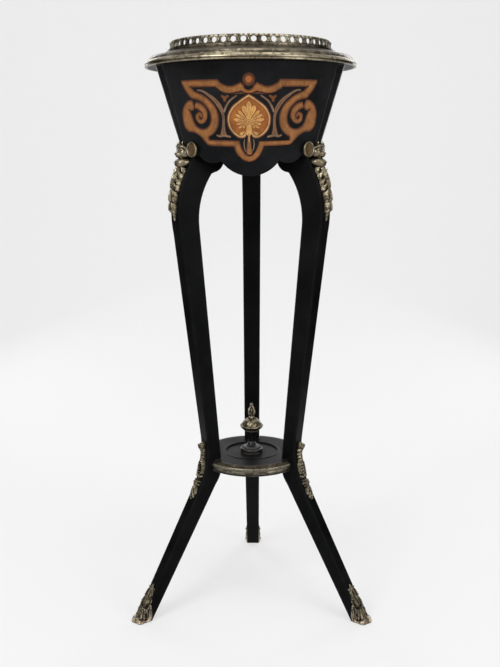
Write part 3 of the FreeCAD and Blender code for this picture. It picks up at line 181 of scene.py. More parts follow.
def bronze(name, bright, patina, toe_wear_and_highlight=0.0, patch=95):
    """Patinated bronze: brown-black in the hollows, rubbed to dull gold on what stands out, with a painted
    highlight on its ridges and, if asked, on its toe.
    """
    material, tree, shader = new_material(name, Metallic=0.9)
    cloud = noise(tree, scale=48, detail=4, rough=0.6, warp=0.4)
    speck = noise(tree, scale=520, detail=4, rough=0.6)
    tone = ramp(tree, cloud, (0.36, 0.0), (0.64, 1.0))
    rubbed_and_highlight = mix(tree, tone, tinted(BRONZE_DULL, bright), tinted(BRONZE_GOLD, bright))
    # Ridges are lighter: partly rubbing, partly a painted highlight.
    ridge_rub_and_highlight = ramp(tree, openness(tree, RIDGE_REACH, samples=5, inside=True), (0.25, 1.0), (0.62, 0.0))
    rubbed_and_highlight = mix(tree, ridge_rub_and_highlight, rubbed_and_highlight, tinted(BRONZE_RIDGE_RUB_AND_HIGHLIGHT, min(bright * RIDGE_GAIN, 1)))
    # The toe, low down, is painted lighter: partly wear and partly a painted highlight.
    if toe_wear_and_highlight:
        up = node(tree, "ShaderNodeSeparateXYZ", {"Vector": place(tree)}).outputs[2]
        low = node(tree, "ShaderNodeMapRange", {"Value": up, "From Min": TOE_TOP, "From Max": TOE_BASE})
        rubbed_and_highlight = mix(tree, low.outputs[0], rubbed_and_highlight, tinted(BRONZE_TOE_WEAR_AND_HIGHLIGHT, toe_wear_and_highlight))
    dark = mix(tree, ramp(tree, speck, (0.42, 0.0), (0.6, 1.0)), BRONZE_SOOT, BRONZE_BROWN)
    proud = ramp(tree, openness(tree, HOLLOW_REACH, samples=6), (0.42, 0.0), (0.93, 1.0))
    patina_wear_and_highlight = mix(tree, proud, dark, rubbed_and_highlight)
    patches = noise(tree, scale=patch, detail=4, rough=0.6, warp=0.6)
    spots = ramp(tree, patches, (patina, 0.8), (patina + PATCH_EDGE, 0.0))
    tree.links.new(mix(tree, spots, patina_wear_and_highlight, dark), shader.inputs["Base Color"])
    tree.links.new(ramp(tree, speck, (0.3, 0.25), (0.7, 0.40)), shader.inputs["Roughness"])
    bump(tree, shader, speck, strength=0.1)
    return material


def inlay(name, light, dark, streak=0.0):
    """A marquetry wood under polish, with its grain at an angle."""
    polish = {"Roughness": 0.3, "Specular_IOR_Level": 0.22, "Coat_Weight": 0.1, "Coat_Roughness": 0.2}
    material, tree, shader = new_material(name, **polish)
    layout = {"stretch": (1, 1, 0.12), "turn": (0.5, 0.6 + streak, 0.2)}
    grain = noise(tree, scale=330, detail=6, rough=0.6, warp=0.3, **layout)
    cloud = noise(tree, scale=60, detail=4, rough=0.6)
    base = mix(tree, ramp(tree, grain, (0.3, 0.0), (0.7, 1.0)), dark, light)
    base = mix(tree, ramp(tree, cloud, (0.4, 0.0), (0.72, 0.75)), base, tinted(dark, 0.6))
    tree.links.new(base, shader.inputs["Base Color"])
    bump(tree, shader, grain, strength=0.08)
    return material


def zinc():
    """Old zinc sheet, mottled and dull."""
    material, tree, shader = new_material("zinc_sheet", Metallic=0.75)
    crystals = node(tree, "ShaderNodeTexVoronoi", {"Vector": place(tree), "Scale": 60.0}, feature="F1")
    grey = node(tree, "ShaderNodeSeparateColor", {"Color": crystals.outputs["Color"]}).outputs[0]
    stain = noise(tree, scale=25, detail=6, rough=0.65, stretch=(1, 1, 0.4))
    base = mix(tree, grey, ZINC_DARK, ZINC_LIGHT)
    base = mix(tree, ramp(tree, stain, (0.45, 0.0), (0.7, 0.8)), base, ZINC_STAIN)
    tree.links.new(base, shader.inputs["Base Color"])
    tree.links.new(ramp(tree, stain, (0.3, 0.42), (0.7, 0.7)), shader.inputs["Roughness"])
    return material


def plain_wood():
    """Unfinished inside wood."""
    material, tree, shader = new_material("inside_wood", Roughness=0.7)
    grain = noise(tree, scale=160, detail=6, rough=0.6, warp=0.4, stretch=(1, 0.08, 1))
    tree.links.new(ramp(tree, grain, (0.3, WOOD_DARK), (0.7, WOOD_LIGHT)), shader.inputs["Base Color"])
    bump(tree, shader, grain, strength=0.2, depth=SAWN_DEPTH)
    return material


def steel():
    """Aged steel of the screws, rod and wire."""
    material, tree, shader = new_material("aged_steel", Metallic=0.9)
    cloud = noise(tree, scale=260, detail=5, rough=0.7)
    tree.links.new(ramp(tree, cloud, (0.35, STEEL_RUST), (0.65, STEEL_CLEAN)), shader.inputs["Base Color"])
    tree.links.new(ramp(tree, cloud, (0.3, 0.55), (0.7, 0.35)), shader.inputs["Roughness"])
    return material


LACQUER = lacquer("black_lacquer", tint=1.3)
# The shelf is a slightly lighter copy of the lacquer with brighter edges: a painted lit top and painted
# highlights on its edges, partly wear.
SHELF_LACQUER = lacquer("shelf_lacquer", tint=1.5, edges=1.0, gloss=0.08, wear_and_highlight=3.0)
# The posts are a lighter copy of the lacquer with brighter edges: painted light on their lit faces and a
# painted highlight on their edges.
POST_LACQUER = lacquer("post_lacquer", tint=2.4, edges=1.0, gloss=0.05, wear_and_highlight=1.5)
# The finial's turned pieces have much brighter edges: painted highlights together with wear.
TURNED_LACQUER = lacquer("turned_lacquer", tint=1.0, edges=1.0, gloss=0.4, wear_and_highlight=4.0)
TUB_LACQUER = lacquer("tub_lacquer", tint=3.0, edges=0, gloss=0.06)
BRONZE = bronze("bronze_mount", bright=0.74, patina=0.43, patch=170)
MASK_BRONZE = bronze("bronze_mask", bright=0.56, patina=0.32)
EAR_BRONZE = inlay("bronze_ear", (0.135, 0.083, 0.03), (0.06, 0.033, 0.011))
ANKLE_BRONZE = bronze("bronze_ankle", bright=0.6, patina=0.45, patch=260)
# The foot bronze has a lighter toe, which is wear together with a painted highlight.
FOOT_BRONZE = bronze("bronze_foot", bright=0.4, patina=0.42, toe_wear_and_highlight=0.7, patch=130)
RIM_BRONZE = bronze("bronze_rim", bright=0.62, patina=0.36, patch=130)
COLLAR_BRONZE = bronze("bronze_collar", bright=0.36, patina=0.44)
GALLERY_BRONZE = bronze("bronze_gallery", bright=0.42, patina=0.43)
FINIAL_BRONZE = bronze("bronze_finial", bright=0.6, patina=0.42, patch=150)
FLAME_BRONZE = bronze("bronze_flame", bright=0.85, patina=0.42, patch=260)
BACK_BRONZE = bronze("bronze_strip_back", bright=0.16, patina=0.43)
STRIP_BRONZE = bronze("bronze_strip", bright=0.19, patina=0.38, patch=300)
STRAP = inlay("strap_veneer", (0.37, 0.165, 0.045), (0.22, 0.078, 0.019))
STRAP_EDGE = inlay("strap_edge_veneer", (0.24, 0.072, 0.014), (0.15, 0.042, 0.009), streak=0.2)
SHADE = inlay("shade_veneer", (0.11, 0.036, 0.010), (0.065, 0.020, 0.007), streak=0.4)
BALL = inlay("ball_veneer", (0.56, 0.165, 0.036), (0.40, 0.11, 0.026), streak=0.6)
BARK = inlay("bark_veneer", (0.24, 0.105, 0.04), (0.13, 0.052, 0.02), streak=0.5)
FIELD = inlay("field_veneer", (0.40, 0.135, 0.022), (0.27, 0.075, 0.012), streak=0.9)
PALM = inlay("palm_veneer", (0.72, 0.40, 0.13), (0.55, 0.27, 0.075), streak=1.3)
PALE = inlay("pale_veneer", (0.62, 0.37, 0.15), (0.45, 0.23, 0.085), streak=0.3)
GREY = inlay("grey_veneer", (0.25, 0.175, 0.11), (0.14, 0.09, 0.055), streak=0.7)

BY_SLOT = {"ebonised_wood": LACQUER, "carcase_wood": plain_wood(), "marquetry": TUB_LACQUER,
           "bronze": BRONZE, "zinc": zinc(), "steel": steel()}
BY_NODE = {"collar": COLLAR_BRONZE, "rim_moulding": RIM_BRONZE, "gallery": GALLERY_BRONZE,
           "shelf": SHELF_LACQUER, "finial_vase": TURNED_LACQUER, "finial_base_ring": TURNED_LACQUER,
           **{f"{side}_corner_post": POST_LACQUER for side in LEG_TURNS},
           **{f"{side}_panel": LACQUER for side in PANEL_TURNS}}
CREASE_ANGLE = math.radians(32)

for entry in frame["record"]["subparts"]:
    thing = frame["nodes"][entry["node"]]
    thing.data.materials.clear()
    thing.data.materials.append(BY_NODE.get(entry["node"], BY_SLOT[entry["material_slot"]]))
for thing in frame["nodes"].values():
    for polygon in thing.data.polygons:
        polygon.use_smooth = True
    keep_edges = thing.modifiers.new("edges", "EDGE_SPLIT")
    keep_edges.split_angle = CREASE_ANGLE


# Making pieces

def mesh_from(name, points, faces):
    """A mesh from millimetre points."""
    mesh = bpy.data.meshes.new(name)
    spots = [tuple(float(c) * MM for c in point) for point in points]
    mesh.from_pydata(spots, [], [tuple(int(i) for i in face) for face in faces])
    mesh.validate()
    return mesh


def mesh_of(name, shape):
    """A mesh from a shape, which is used up."""
    mesh = bpy.data.meshes.new(name)
    shape.to_mesh(mesh)
    shape.free()
    return mesh


def smooth(mesh):
    """Shade every face of a mesh smooth."""
    mesh.polygons.foreach_set("use_smooth", [True] * len(mesh.polygons))


def put(name, data):
    """An object in the scene."""
    thing = bpy.data.objects.new(name, data)
    bpy.context.scene.collection.objects.link(thing)
    return thing


def show(mesh, name, material, turn=0, body="stand", replaces=()):
    """An object of a mesh, turned about the axis, that rides on a body."""
    if not mesh.materials:
        mesh.materials.append(material)
    smooth(mesh)
    thing = put(name, mesh)
    thing.rotation_euler = (0, 0, math.radians(turn))
    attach(thing, body)
    if replaces:
        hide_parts(*replaces)


def show_on_legs(mesh, piece, material, replaced):
    """The same bronze on each leg, in place of the solid one there."""
    for side, turn in LEG_TURNS.items():
        show(mesh, f"{side}_{piece}", material, turn, replaces=[f"{side}_{replaced}"])


def turns(count):
    """Angles all round, as many as asked."""
    return [TAU * k / count for k in range(count)]


def between(before, a, b, after, t):
    """A point on the smooth line from a to b, at a share t of the way."""
    return 0.5 * (2 * a + (b - before) * t + (2 * before - 5 * a + 4 * b - after) * t**2
                  + (3 * a - before - 3 * b + after) * t**3)


def spline(points, steps=6, closed=False):
    """A smooth line through points. A point with a trailing 0 is a corner."""
    spots = [np.array(p[:2], float) for p in points]
    corner = [len(p) > 2 and p[2] == 0 for p in points]
    count = len(spots)
    line = []
    for i in range(count if closed else count - 1):
        a, b = spots[i], spots[(i + 1) % count]
        before = spots[i - 1] if (closed or i > 0) and not corner[i] else a
        after = spots[(i + 2) % count] if (closed or i < count - 2) and not corner[(i + 1) % count] else b
        line += [between(before, a, b, after, k / steps) for k in range(steps)]
    if not closed:
        line.append(spots[-1])
    return line


# Marquetry, drawn on a panel: across from the middle of the panel, and up from the floor

BOARD_BASE = 1035.0
TUB_DEPTH = 155.0
PANEL_TOP_WIDTH = 302
PANEL_TAPER = 79
CORNER_TOP_WIDTH = 28
CORNER_TAPER = 10.5
BOW_SINE = PANEL_TOP_WIDTH / 2 / 238
BOW_FACET = 7
CIRCLE_SIDES = 28
LAYER = 0.01
FRONT_SHIFT = -1.5
HAIR = 0.4
TINY = 1e-9


def on_panel(across, up, proud):
    """A point on the front panel's face, from the middle of the panel."""
    drop = BOARD_BASE - up
    half = (PANEL_TOP_WIDTH - PANEL_TAPER * drop / TUB_DEPTH) / 2
    corner = CORNER_TOP_WIDTH - CORNER_TAPER * drop / TUB_DEPTH
    bow = half / BOW_SINE
    centre = bow * math.sqrt(1 - BOW_SINE**2) - (half + corner) / math.sqrt(3)
    angle = across / bow
    return ((bow + proud) * math.sin(angle), centre - (bow + proud) * math.cos(angle), up)


def filled(name, outlines, proud, shift):
    """A flat shape with holes, laid over the bow of a panel."""
    curve = bpy.data.curves.new(name, "CURVE")
    curve.dimensions = "2D"
    curve.fill_mode = "BOTH"
    for outline in outlines:
        line = curve.splines.new("POLY")
        line.points.add(len(outline) - 1)
        for point, (x, y) in zip(line.points, outline):
            point.co = (x, y, 0, 1)
        line.use_cyclic_u = True
    holder = bpy.data.objects.new(name, curve)
    flat = bpy.data.meshes.new_from_object(holder)
    shape = bmesh.new()
    shape.from_mesh(flat)
    low = min(v.co.x for v in shape.verts)
    high = max(v.co.x for v in shape.verts)
    for k in range(math.ceil(low / BOW_FACET), math.ceil(high / BOW_FACET)):
        everything = shape.verts[:] + shape.edges[:] + shape.faces[:]
        bmesh.ops.bisect_plane(shape, geom=everything, plane_co=(k * BOW_FACET, 0, 0), plane_no=(1, 0, 0))
    bmesh.ops.triangulate(shape, faces=[f for f in shape.faces if len(f.verts) > 4])
    for v in shape.verts:
        v.co = Vector(on_panel(v.co.x + shift, v.co.y, proud)) * MM
    bpy.data.objects.remove(holder)
    bpy.data.curves.remove(curve)
    bpy.data.meshes.remove(flat)
    return mesh_of(name, shape)


def ribbon(points, steps=6, grow=0.0):
    """A closed outline round a line whose points carry their width."""
    centre = spline([p[:2] for p in points], steps)
    widths = [w[0] for w in spline([(p[2], 0) for p in points], steps)]
    left, right = [], []
    for i, (spot, width) in enumerate(zip(centre, widths)):
        along = centre[min(i + 1, len(centre) - 1)] - centre[max(i - 1, 0)]
        along = along / (np.linalg.norm(along) + TINY)
        side = np.array((-along[1], along[0])) * (max(width, HAIR) / 2 + grow)
        left.append(spot + side)
        right.append(spot - side)
    return left + right[::-1]


def narrower(points, by, least=0.0):
    """The same line with less width."""
    return [(x, y, max(width - by, least)) for x, y, width in points]


def ring(centre, radius):
    """A circle's outline."""
    x, y = centre
    return [np.array((x + radius * math.cos(a), y + radius * math.sin(a))) for a in turns(CIRCLE_SIDES)]


def mirrored(outline):
    """The same outline on the other side of the middle."""
    return [np.array((-p[0], p[1])) for p in outline][::-1]


def both(outline):
    """An open outline from the middle and back to it, closed by its mirror image."""
    return list(outline) + mirrored(outline)[1:-1]


def grown(outline, by):
    """An outline moved outward."""
    spots = np.array(outline)
    area = np.sum(spots[:, 0] * np.roll(spots[:, 1], -1) - np.roll(spots[:, 0], -1) * spots[:, 1])
    along = np.roll(spots, -1, 0) - np.roll(spots, 1, 0)
    along /= np.linalg.norm(along, axis=1)[:, None] + TINY
    normal = np.stack((along[:, 1], -along[:, 0]), 1) * (1 if area > 0 else -1)
    return list(spots + normal * by)


# Left half of the strapwork's outer and inner outline, from the top down, with its scroll
STRAP_OUTER = [
    (0, 988, 0), (-6.4, 990.2), (-10.2, 996, 0), (-14, 999.3, 0), (-22.9, 995.5), (-30.7, 993.5),
    (-39.6, 994.9), (-49.2, 999.6), (-54.2, 1004.9, 0), (-122.2, 1004.7, 0), (-114.4, 990.7),
    (-103.2, 977.9, 0), (-86.6, 973.2), (-75.7, 964.7), (-68.1, 953.8), (-65.9, 941.9), (-68.3, 932.1),
    (-73.8, 926.2), (-80.9, 923.5), (-88.6, 924.6), (-96.3, 929.2), (-101.6, 936.9), (-104.5, 945.7),
    (-107.9, 953.4), (-111.6, 958.6, 0), (-105.3, 957.3), (-100.9, 958.7), (-99.6, 964),
    (-103.2, 972.1, 0), (-110.6, 970.8), (-118.8, 963.4), (-123.3, 952.7), (-122.9, 940.6),
    (-120.2, 929.5), (-111.8, 921.6, 0), (-102.3, 921), (-93, 917), (-85.3, 911.4), (-79.8, 904.7),
    (-74.9, 899.8, 0), (-65.5, 897.5), (-25.2, 895.9, 0), (-23, 888.9), (-17.4, 878.9), (-9.4, 871.6),
    (0, 868.8, 0)]
STRAP_INNER = [
    (0, 983.5, 0), (-6.5, 984.2), (-13, 987.3, 0), (-19.7, 985.8), (-33.1, 983.7), (-44.3, 985.7),
    (-52.2, 990.5), (-57.9, 995.3, 0), (-107.4, 996.4, 0), (-97.4, 986.7, 0), (-84.4, 981.6),
    (-72.5, 974.4), (-60.9, 962.3), (-54.8, 949.3), (-53.9, 938.5), (-56.5, 927.6), (-62.2, 918.9),
    (-73.1, 912.2, 0), (-72.7, 905.8, 0), (-62.8, 904.6), (-17.7, 903.3, 0), (-16.1, 896.7),
    (-11.6, 886.7), (-6, 879.9), (0, 877.7, 0)]
SPIRAL = [
    (-96.4, 965.2, 8.0), (-89, 963, 9.2), (-81.4, 957, 9), (-78, 948, 8.6), (-80.4, 940.4, 8),
    (-86.4, 937.2, 7.2), (-92, 940.6, 6.4), (-92.8, 947, 5.2), (-88.4, 950.2, 4), (-84.8, 947.4, 2.8),
    (-86.6, 944.4, 1.4)]
# The strap's layers: material, level, and how far each moves the outer and the inner outline outward
STRAP_LAYERS = ((SHADE, 5, 1.8, -1.8), (STRAP_EDGE, 10, 0.3, -0.3), (STRAP, 13, -1.6, 1.2))
# Tendrils beside the medallion, with their widths
ARC = [
    (-91.5, 989.4, 0.8), (-81.9, 988, 1.9), (-70, 981, 3.3), (-58.5, 971.8, 5), (-50.6, 962.1, 5.6),
    (-46, 952.4, 4), (-44.1, 942.7, 3), (-44.3, 930.8, 3.2), (-44.8, 921, 6.4), (-44.8, 914, 11)]
ARC_BACK = [(-20.4, 979.8, 0.8), (-32.1, 971.7, 1.7), (-39.1, 962, 2.3), (-43.2, 952.4, 2.6)]
ARC_FEET = [
    (-57.5, 914.4, 1.2), (-51.2, 912.4, 2.4), (-44.6, 913.4, 2), (-37.6, 912.4, 2.4), (-31.5, 911, 1.2)]
TREFOIL = [[(-47.5, 979.5, 1.2), (-42.6, 976, 3.2), (-41.7, 969.5, 1.6)],
           [(-34.6, 979.6, 1.2), (-40.2, 976, 3), (-41.7, 969.5, 1.6)]]
TENDRILS = (ARC, ARC_BACK, ARC_FEET)
# Left half of the heart-shaped medallion and of the field in it
MEDALLION = [
    (0, 981.6, 0), (-7.4, 977.4), (-15.3, 972), (-27.9, 962.4), (-35.3, 950.6), (-37.2, 940.6),
    (-35, 928.4), (-28.6, 918.3), (-18.2, 910.4), (-9.7, 909.6), (-5.4, 912.8), (-4.6, 917.4, 0),
    (0, 918.4, 0)]
FIELD_EDGE = [
    (0, 977.2, 0), (-6.8, 972.8), (-13.6, 968.2), (-24.9, 959.2), (-31.4, 949), (-33.2, 940.2),
    (-31.2, 929.6), (-25.8, 921.2), (-17.2, 914.6), (-11, 914.2), (-8.4, 917.4), (-6, 921.4, 0),
    (0, 922.4, 0)]
# Palmette lobes: tip across, tip height, width, and how pointed the tip is
LOBES = [
    (0, 971.2, 9.2, 0.9), (-10.2, 963.4, 8.2, 0.2), (-18.6, 955.4, 4.9, 0.2), (-23.4, 948.8, 4.3, 0.4),
    (-26.8, 940.6, 5.6, 0.9), (-21.6, 932.2, 4.2, 0.3), (-17.8, 925.6, 3.8, 0.3)]
# A lobe's outline: shares of its length and of its half width, with the tip as a corner
LOBE_SHARES = [(0, 0.16), (0.3, 0.36), (0.55, 0.68), (0.76, 1.0)]
LOBE_SHOULDER_SHARE = 0.92
PALM_HEART = (0, 936.4)
PALM_STEM = [
    (-3.4, 931.4), (-4.4, 924.9), (-5.2, 918.6), (-3.4, 914.2), (3.4, 914.2), (5.2, 918.6), (4.4, 924.9),
    (3.4, 931.4)]
# Beads at the palmette's heart: across, up and radius
PALM_BEADS = [
    (0, 936.4, 3.6), (-5.2, 932.6, 2.6), (5.2, 932.6, 2.6), (-8.6, 927.8, 2.2), (8.6, 927.8, 2.2)]
BEAD_PIP_SHARE = 0.42
# A lobe's vein: shares of the way from the heart to the tip, and widths
VEIN_SHARES = ((0.34, 0.4), (0.6, 0.8), (0.84, 0.4))
FOOT_LEAF_TIP, FOOT_LEAF_WIDTH, FOOT_LEAF_ROOT = (-15.4, 914.8), 6.4, (-7.4, 920.5)
STALK = [(0, 916, 3.0), (0, 908, 4.0), (0, 900, 6), (0, 892, 7.4), (0.6, 885.4, 9.2), (0.8, 881.4, 7)]
STALK_GLEAM = [(0, 915, 1.8), (0, 908, 2.2), (0, 902, 1.2)]
STALK_BLADE = [(-7.6, 907.5, 1.2), (-8.8, 899.5, 1.9), (-7.6, 891, 1.7), (-5.2, 884.6, 0.8)]
# The ball above the medallion: material, level, height and radius of each ring
BALL_RINGS = ((SHADE, 5, 1005.6, 10.8), (STRAP_EDGE, 10, 1006.0, 7.2), (BALL, 13, 1006.0, 5.0))


def lobe(tip, width, root, point=0.3):
    """A petal outline from the palmette's heart to a tip."""
    root, tip = np.array(root, float), np.array(tip, float)
    along = tip - root
    side = np.array((-along[1], along[0])) / np.linalg.norm(along) * width / 2
    one_side = [*LOBE_SHARES, (LOBE_SHOULDER_SHARE, 0.8 - 0.3 * point)]
    shares = [*one_side, (1.0, 0.0, 0), *[(far, -wide) for far, wide in one_side[::-1]]]
    return spline([tuple(root + along * s[0] + side * s[1]) + s[2:] for s in shares], steps=4, closed=True)


def draw_straps(twice, add):
    """The strapwork with its dark seam, and the scrolls that curl out of it."""
    outer, inner = both(spline(STRAP_OUTER, steps=5)), both(spline(STRAP_INNER, steps=5))
    for material, level, out, into in STRAP_LAYERS:
        add(material, level, grown(outer, out), grown(inner, into))
    twice(SHADE, 5, ribbon(SPIRAL, grow=1.6))
    twice(STRAP_EDGE, 10, ribbon(SPIRAL, grow=0.2))
    twice(STRAP, 13, ribbon(narrower(SPIRAL, by=3.2, least=0.8)))


def draw_tendrils(twice):
    """The grey tendrils beside the medallion, with a bark-brown core and trefoils where they cross."""
    for line in (*TENDRILS, *TREFOIL):
        twice(SHADE, 4, ribbon(line, steps=5, grow=1.2))
    for line in TENDRILS:
        twice(GREY, 10, ribbon(line, steps=5, grow=0.25))
    for line in TREFOIL:
        twice(STRAP_EDGE, 10, ribbon(line, steps=5, grow=0.2))
    twice(BARK, 13, ribbon(narrower(ARC[2:], by=1.8, least=0.3), steps=5))


def draw_medallion(add):
    """The medallion: a pale band round a red-brown field."""
    medal, field = both(spline(MEDALLION)), both(spline(FIELD_EDGE))
    add(SHADE, 5, grown(medal, by=1.3))
    add(STRAP_EDGE, 10, medal, field)
    add(PALE, 13, grown(medal, by=-0.6), grown(field, by=0.7))
    add(SHADE, 12, grown(field, by=0.5))
    add(FIELD, 15, grown(field, by=-0.3))


def draw_palmette(twice, add):
    """The palmette: lobes with veins, a stem, beads at its heart and a leaf on each side of its foot."""
    heart = np.array(PALM_HEART, float)
    for x, y, width, point in LOBES:
        outline = lobe((x, y), width, PALM_HEART, point)
        for shape, tip in [(outline, (x, y))] + ([] if x == 0 else [(mirrored(outline), (-x, y))]):
            add(SHADE, 18, grown(shape, by=0.45))
            add(PALM, 21, shape)
            along = np.array(tip, float) - heart
            vein = [tuple(heart + along * far) + (wide,) for far, wide in VEIN_SHARES]
            add(FIELD, 24, ribbon(vein, steps=4))
    stem = spline(PALM_STEM, steps=4, closed=True)
    add(SHADE, 18, grown(stem, by=0.5))
    add(PALM, 21, stem)
    for across, up, radius in PALM_BEADS:
        add(SHADE, 25, ring((across, up), radius + 0.5))
        add(PALM, 28, ring((across, up), radius))
        add(FIELD, 31, ring((across, up), radius * BEAD_PIP_SHARE))
    leaf = lobe(FOOT_LEAF_TIP, FOOT_LEAF_WIDTH, FOOT_LEAF_ROOT)
    twice(SHADE, 18, grown(leaf, by=0.4))
    twice(PALM, 21, leaf)


def draw_stalk(twice, add):
    """The stalk under the medallion, and the ball above it."""
    stalk = ribbon(STALK)
    add(SHADE, 18, grown(stalk, by=0.9))
    add(BARK, 21, stalk)
    add(STRAP, 24, ribbon(narrower(STALK, by=1.8)))
    add(PALE, 26, ribbon(STALK_GLEAM, steps=5))
    twice(GREY, 12, ribbon(STALK_BLADE, steps=5))
    for material, level, up, radius in BALL_RINGS:
        add(material, level, ring((0, up), radius))


def marquetry(sides, shift):
    """The inlaid panel: layered shapes, each a little prouder than the one under it."""
    layers = {}

    def add(material, level, *outlines):
        layers.setdefault((material, level), []).append(outlines)

    def twice(material, level, outline):
        add(material, level, outline)
        add(material, level, mirrored(outline))

    draw_straps(twice, add)
    draw_tendrils(twice)
    draw_medallion(add)
    draw_palmette(twice, add)
    draw_stalk(twice, add)
    materials, joined = [], bmesh.new()
    for (material, level), shapes in layers.items():
        if material not in materials:
            materials.append(material)
        for outlines in shapes:
            mesh = filled("inlay_part", outlines, level * LAYER, shift)
            start = len(joined.faces)
            joined.from_mesh(mesh)
            joined.faces.ensure_lookup_table()
            for face in joined.faces[start:]:
                face.material_index = materials.index(material)
            bpy.data.meshes.remove(mesh)
    mesh = mesh_of("marquetry", joined)
    for material in materials:
        mesh.materials.append(material)
    for side in sides:
        show(mesh, f"{side}_marquetry", None, PANEL_TURNS[side])


# Reliefs that follow the outer face of a leg

LEG_TOP = 880
LEG_FOOT_WIDTH = 26.5
LEG_TAPER = 11
LEG_ARRIS = 3.5
PROBE_ASIDES = (-6, 0, 6)
PROBE_START = 0.5
PROBE_MARGIN = 0.3
SLOPE_SPAN = 2
FOOT_EASE = 25
CELL = 0.6
SINK = 0.6


def outer_face():
    """How far a leg's outer face stands from the axis, at each whole millimetre of height."""
    back_leg = frame["nodes"]["back_leg"].data
    wood = BVHTree.FromPolygons([v.co for v in back_leg.vertices], [p.vertices for p in back_leg.polygons])
    radii = []
    for level in range(LEG_TOP + 1):
        up = min(max(level, PROBE_MARGIN), LEG_TOP - PROBE_MARGIN) * MM
        starts = [Vector((aside * MM, PROBE_START, up)) for aside in PROBE_ASIDES]
        radii.append(max(wood.ray_cast(start, Vector((0, -1, 0)))[0].y for start in starts) / MM)
    return np.array(radii)


FACE = outer_face()


def face_at(z):
    """The outer face's distance from the axis at a height."""
    return float(np.interp(z, range(LEG_TOP + 1), FACE))


def wrap(s, z, height):
    """A point at a distance s round the leg from the middle of its outer face, so high off the wood."""
    face = face_at(z)
    slope = (face_at(z + SLOPE_SPAN) - face_at(z - SLOPE_SPAN)) / (2 * SLOPE_SPAN) * min(z / FOOT_EASE, 1)
    flat = (LEG_FOOT_WIDTH + LEG_TAPER * z / LEG_TOP) / 2 - LEG_ARRIS
    far = max(abs(s) - flat, 0)
    angle = min(far / LEG_ARRIS, math.pi / 2)
    rest = far - angle * LEG_ARRIS
    side = math.copysign(1, s)
    out = face - LEG_ARRIS + LEG_ARRIS * math.cos(angle) - max(rest, 0)
    aside = side * (min(abs(s), flat) + LEG_ARRIS * math.sin(angle))
    normal = Vector((math.cos(angle), side * math.sin(angle), -slope * math.cos(angle))).normalized()
    return (out + normal.x * height, aside + normal.y * height, z + normal.z * height)


def stroke_heights(strokes, across, up):
    """The height of a relief of strokes. A leaf is hollow along its middle, and a peg has steep sides."""
    total = np.full(across.shape, -1.0)
    for points, kind in strokes:
        line = [np.array(p, float) for p in points]
        for a, b in zip(line, line[1:]):
            along = b[:2] - a[:2]
            ahead = (across - a[0]) * along[0] + (up - a[1]) * along[1]
            t = np.clip(ahead / (along @ along + TINY), 0, 1)
            gap = np.hypot(across - a[0] - along[0] * t, up - a[1] - along[1] * t)
            half = a[2] + (b[2] - a[2]) * t
            tall = a[3] + (b[3] - a[3]) * t
            share = gap / np.maximum(half, 0.1)
            body = np.sqrt(np.clip(1 - share**2, 0, 1))
            if kind == "peg":
                body = np.clip(1 - share**6, 0, 1) ** 0.3
            if kind == "leaf":
                body = body * (0.72 + 0.28 * np.clip(share / 0.3, 0, 1))
            total = np.maximum(total, np.where(share < 1, tall * body, -1.0))
    return total


def relief(name, strokes, low, high, reach):
    """A cast relief on a leg's face: a fine grid raised by strokes and dropped where there are none."""
    columns, rows = int(2 * reach / CELL) + 1, int((high - low) / CELL) + 1
    across, up = np.meshgrid(np.linspace(-reach, reach, columns), np.linspace(low, high, rows))
    heights = stroke_heights(strokes, across, up)
    padded = np.pad(heights, 1, mode="edge")
    soft = (padded[:-2, 1:-1] + padded[2:, 1:-1] + padded[1:-1, :-2] + padded[1:-1, 2:] + 2 * heights) / 6
    heights = np.where(heights > 0, soft, heights)
    spots = zip(across.flat, up.flat, heights.flat)
    points = [wrap(float(s), float(z), float(max(h, -SINK))) for s, z, h in spots]
    raised = heights > 0.0
    faces = []
    for r in range(rows - 1):
        for c in range(columns - 1):
            if raised[r:r + 2, c:c + 2].any():
                corner = r * columns + c
                faces.append((corner, corner + 1, corner + columns + 1, corner + columns))
    mesh = mesh_from(name, points, faces)
    shape = bmesh.new()
    shape.from_mesh(mesh)
    bmesh.ops.delete(shape, geom=[v for v in shape.verts if not v.link_faces], context="VERTS")
    shape.to_mesh(mesh)
    shape.free()
    return mesh


def stroked(kind, *lines):
    """Strokes of one kind."""
    return [(line, kind) for line in lines]


def paired(kind, *lines):
    """Strokes of one kind, each with its mirror image."""
    return stroked(kind, *lines) + stroked(kind, *[[(-p[0], *p[1:]) for p in line] for line in lines])


# Strokes of the knee leaf. A stroke's point is across, up, half its width and its height off the wood.
KNEE_RIB = [
    (0, 864, 4.8, 14.4), (0, 851, 5.2, 15.6), (0, 836, 5.0, 16.4), (0, 826, 4.0, 16.2),
    (0, 819, 2.2, 14.6)]
HUSK_RIB = [(0, 817, 3.6, 13.4), (0, 808, 4.6, 14.8), (0, 800, 3.8, 14.6), (0, 796.6, 2.4, 12.6)]
BELL_RIB = [(0, 796, 2.4, 12.2), (0, 788, 3.0, 13.4), (0, 782, 2.0, 12.9)]
KNEE_TIP = [(0, 781, 2.4, 7.4), (0, 775, 2.0, 5.0), (0, 768, 1.4, 3.6), (0, 764, 0.8, 2.4)]
HUSK_LOBE = [(3.6, 816, 2.2, 12.8), (6.6, 808, 2.2, 12.6), (6.4, 801, 1.6, 11.2), (5.0, 796.4, 0.8, 9)]
BELL_LOBE = [(2.6, 795, 1.9, 11.4), (5.2, 788, 1.9, 11.6), (5.8, 781.4, 1.2, 10.2), (4.8, 777.8, 0.7, 8)]
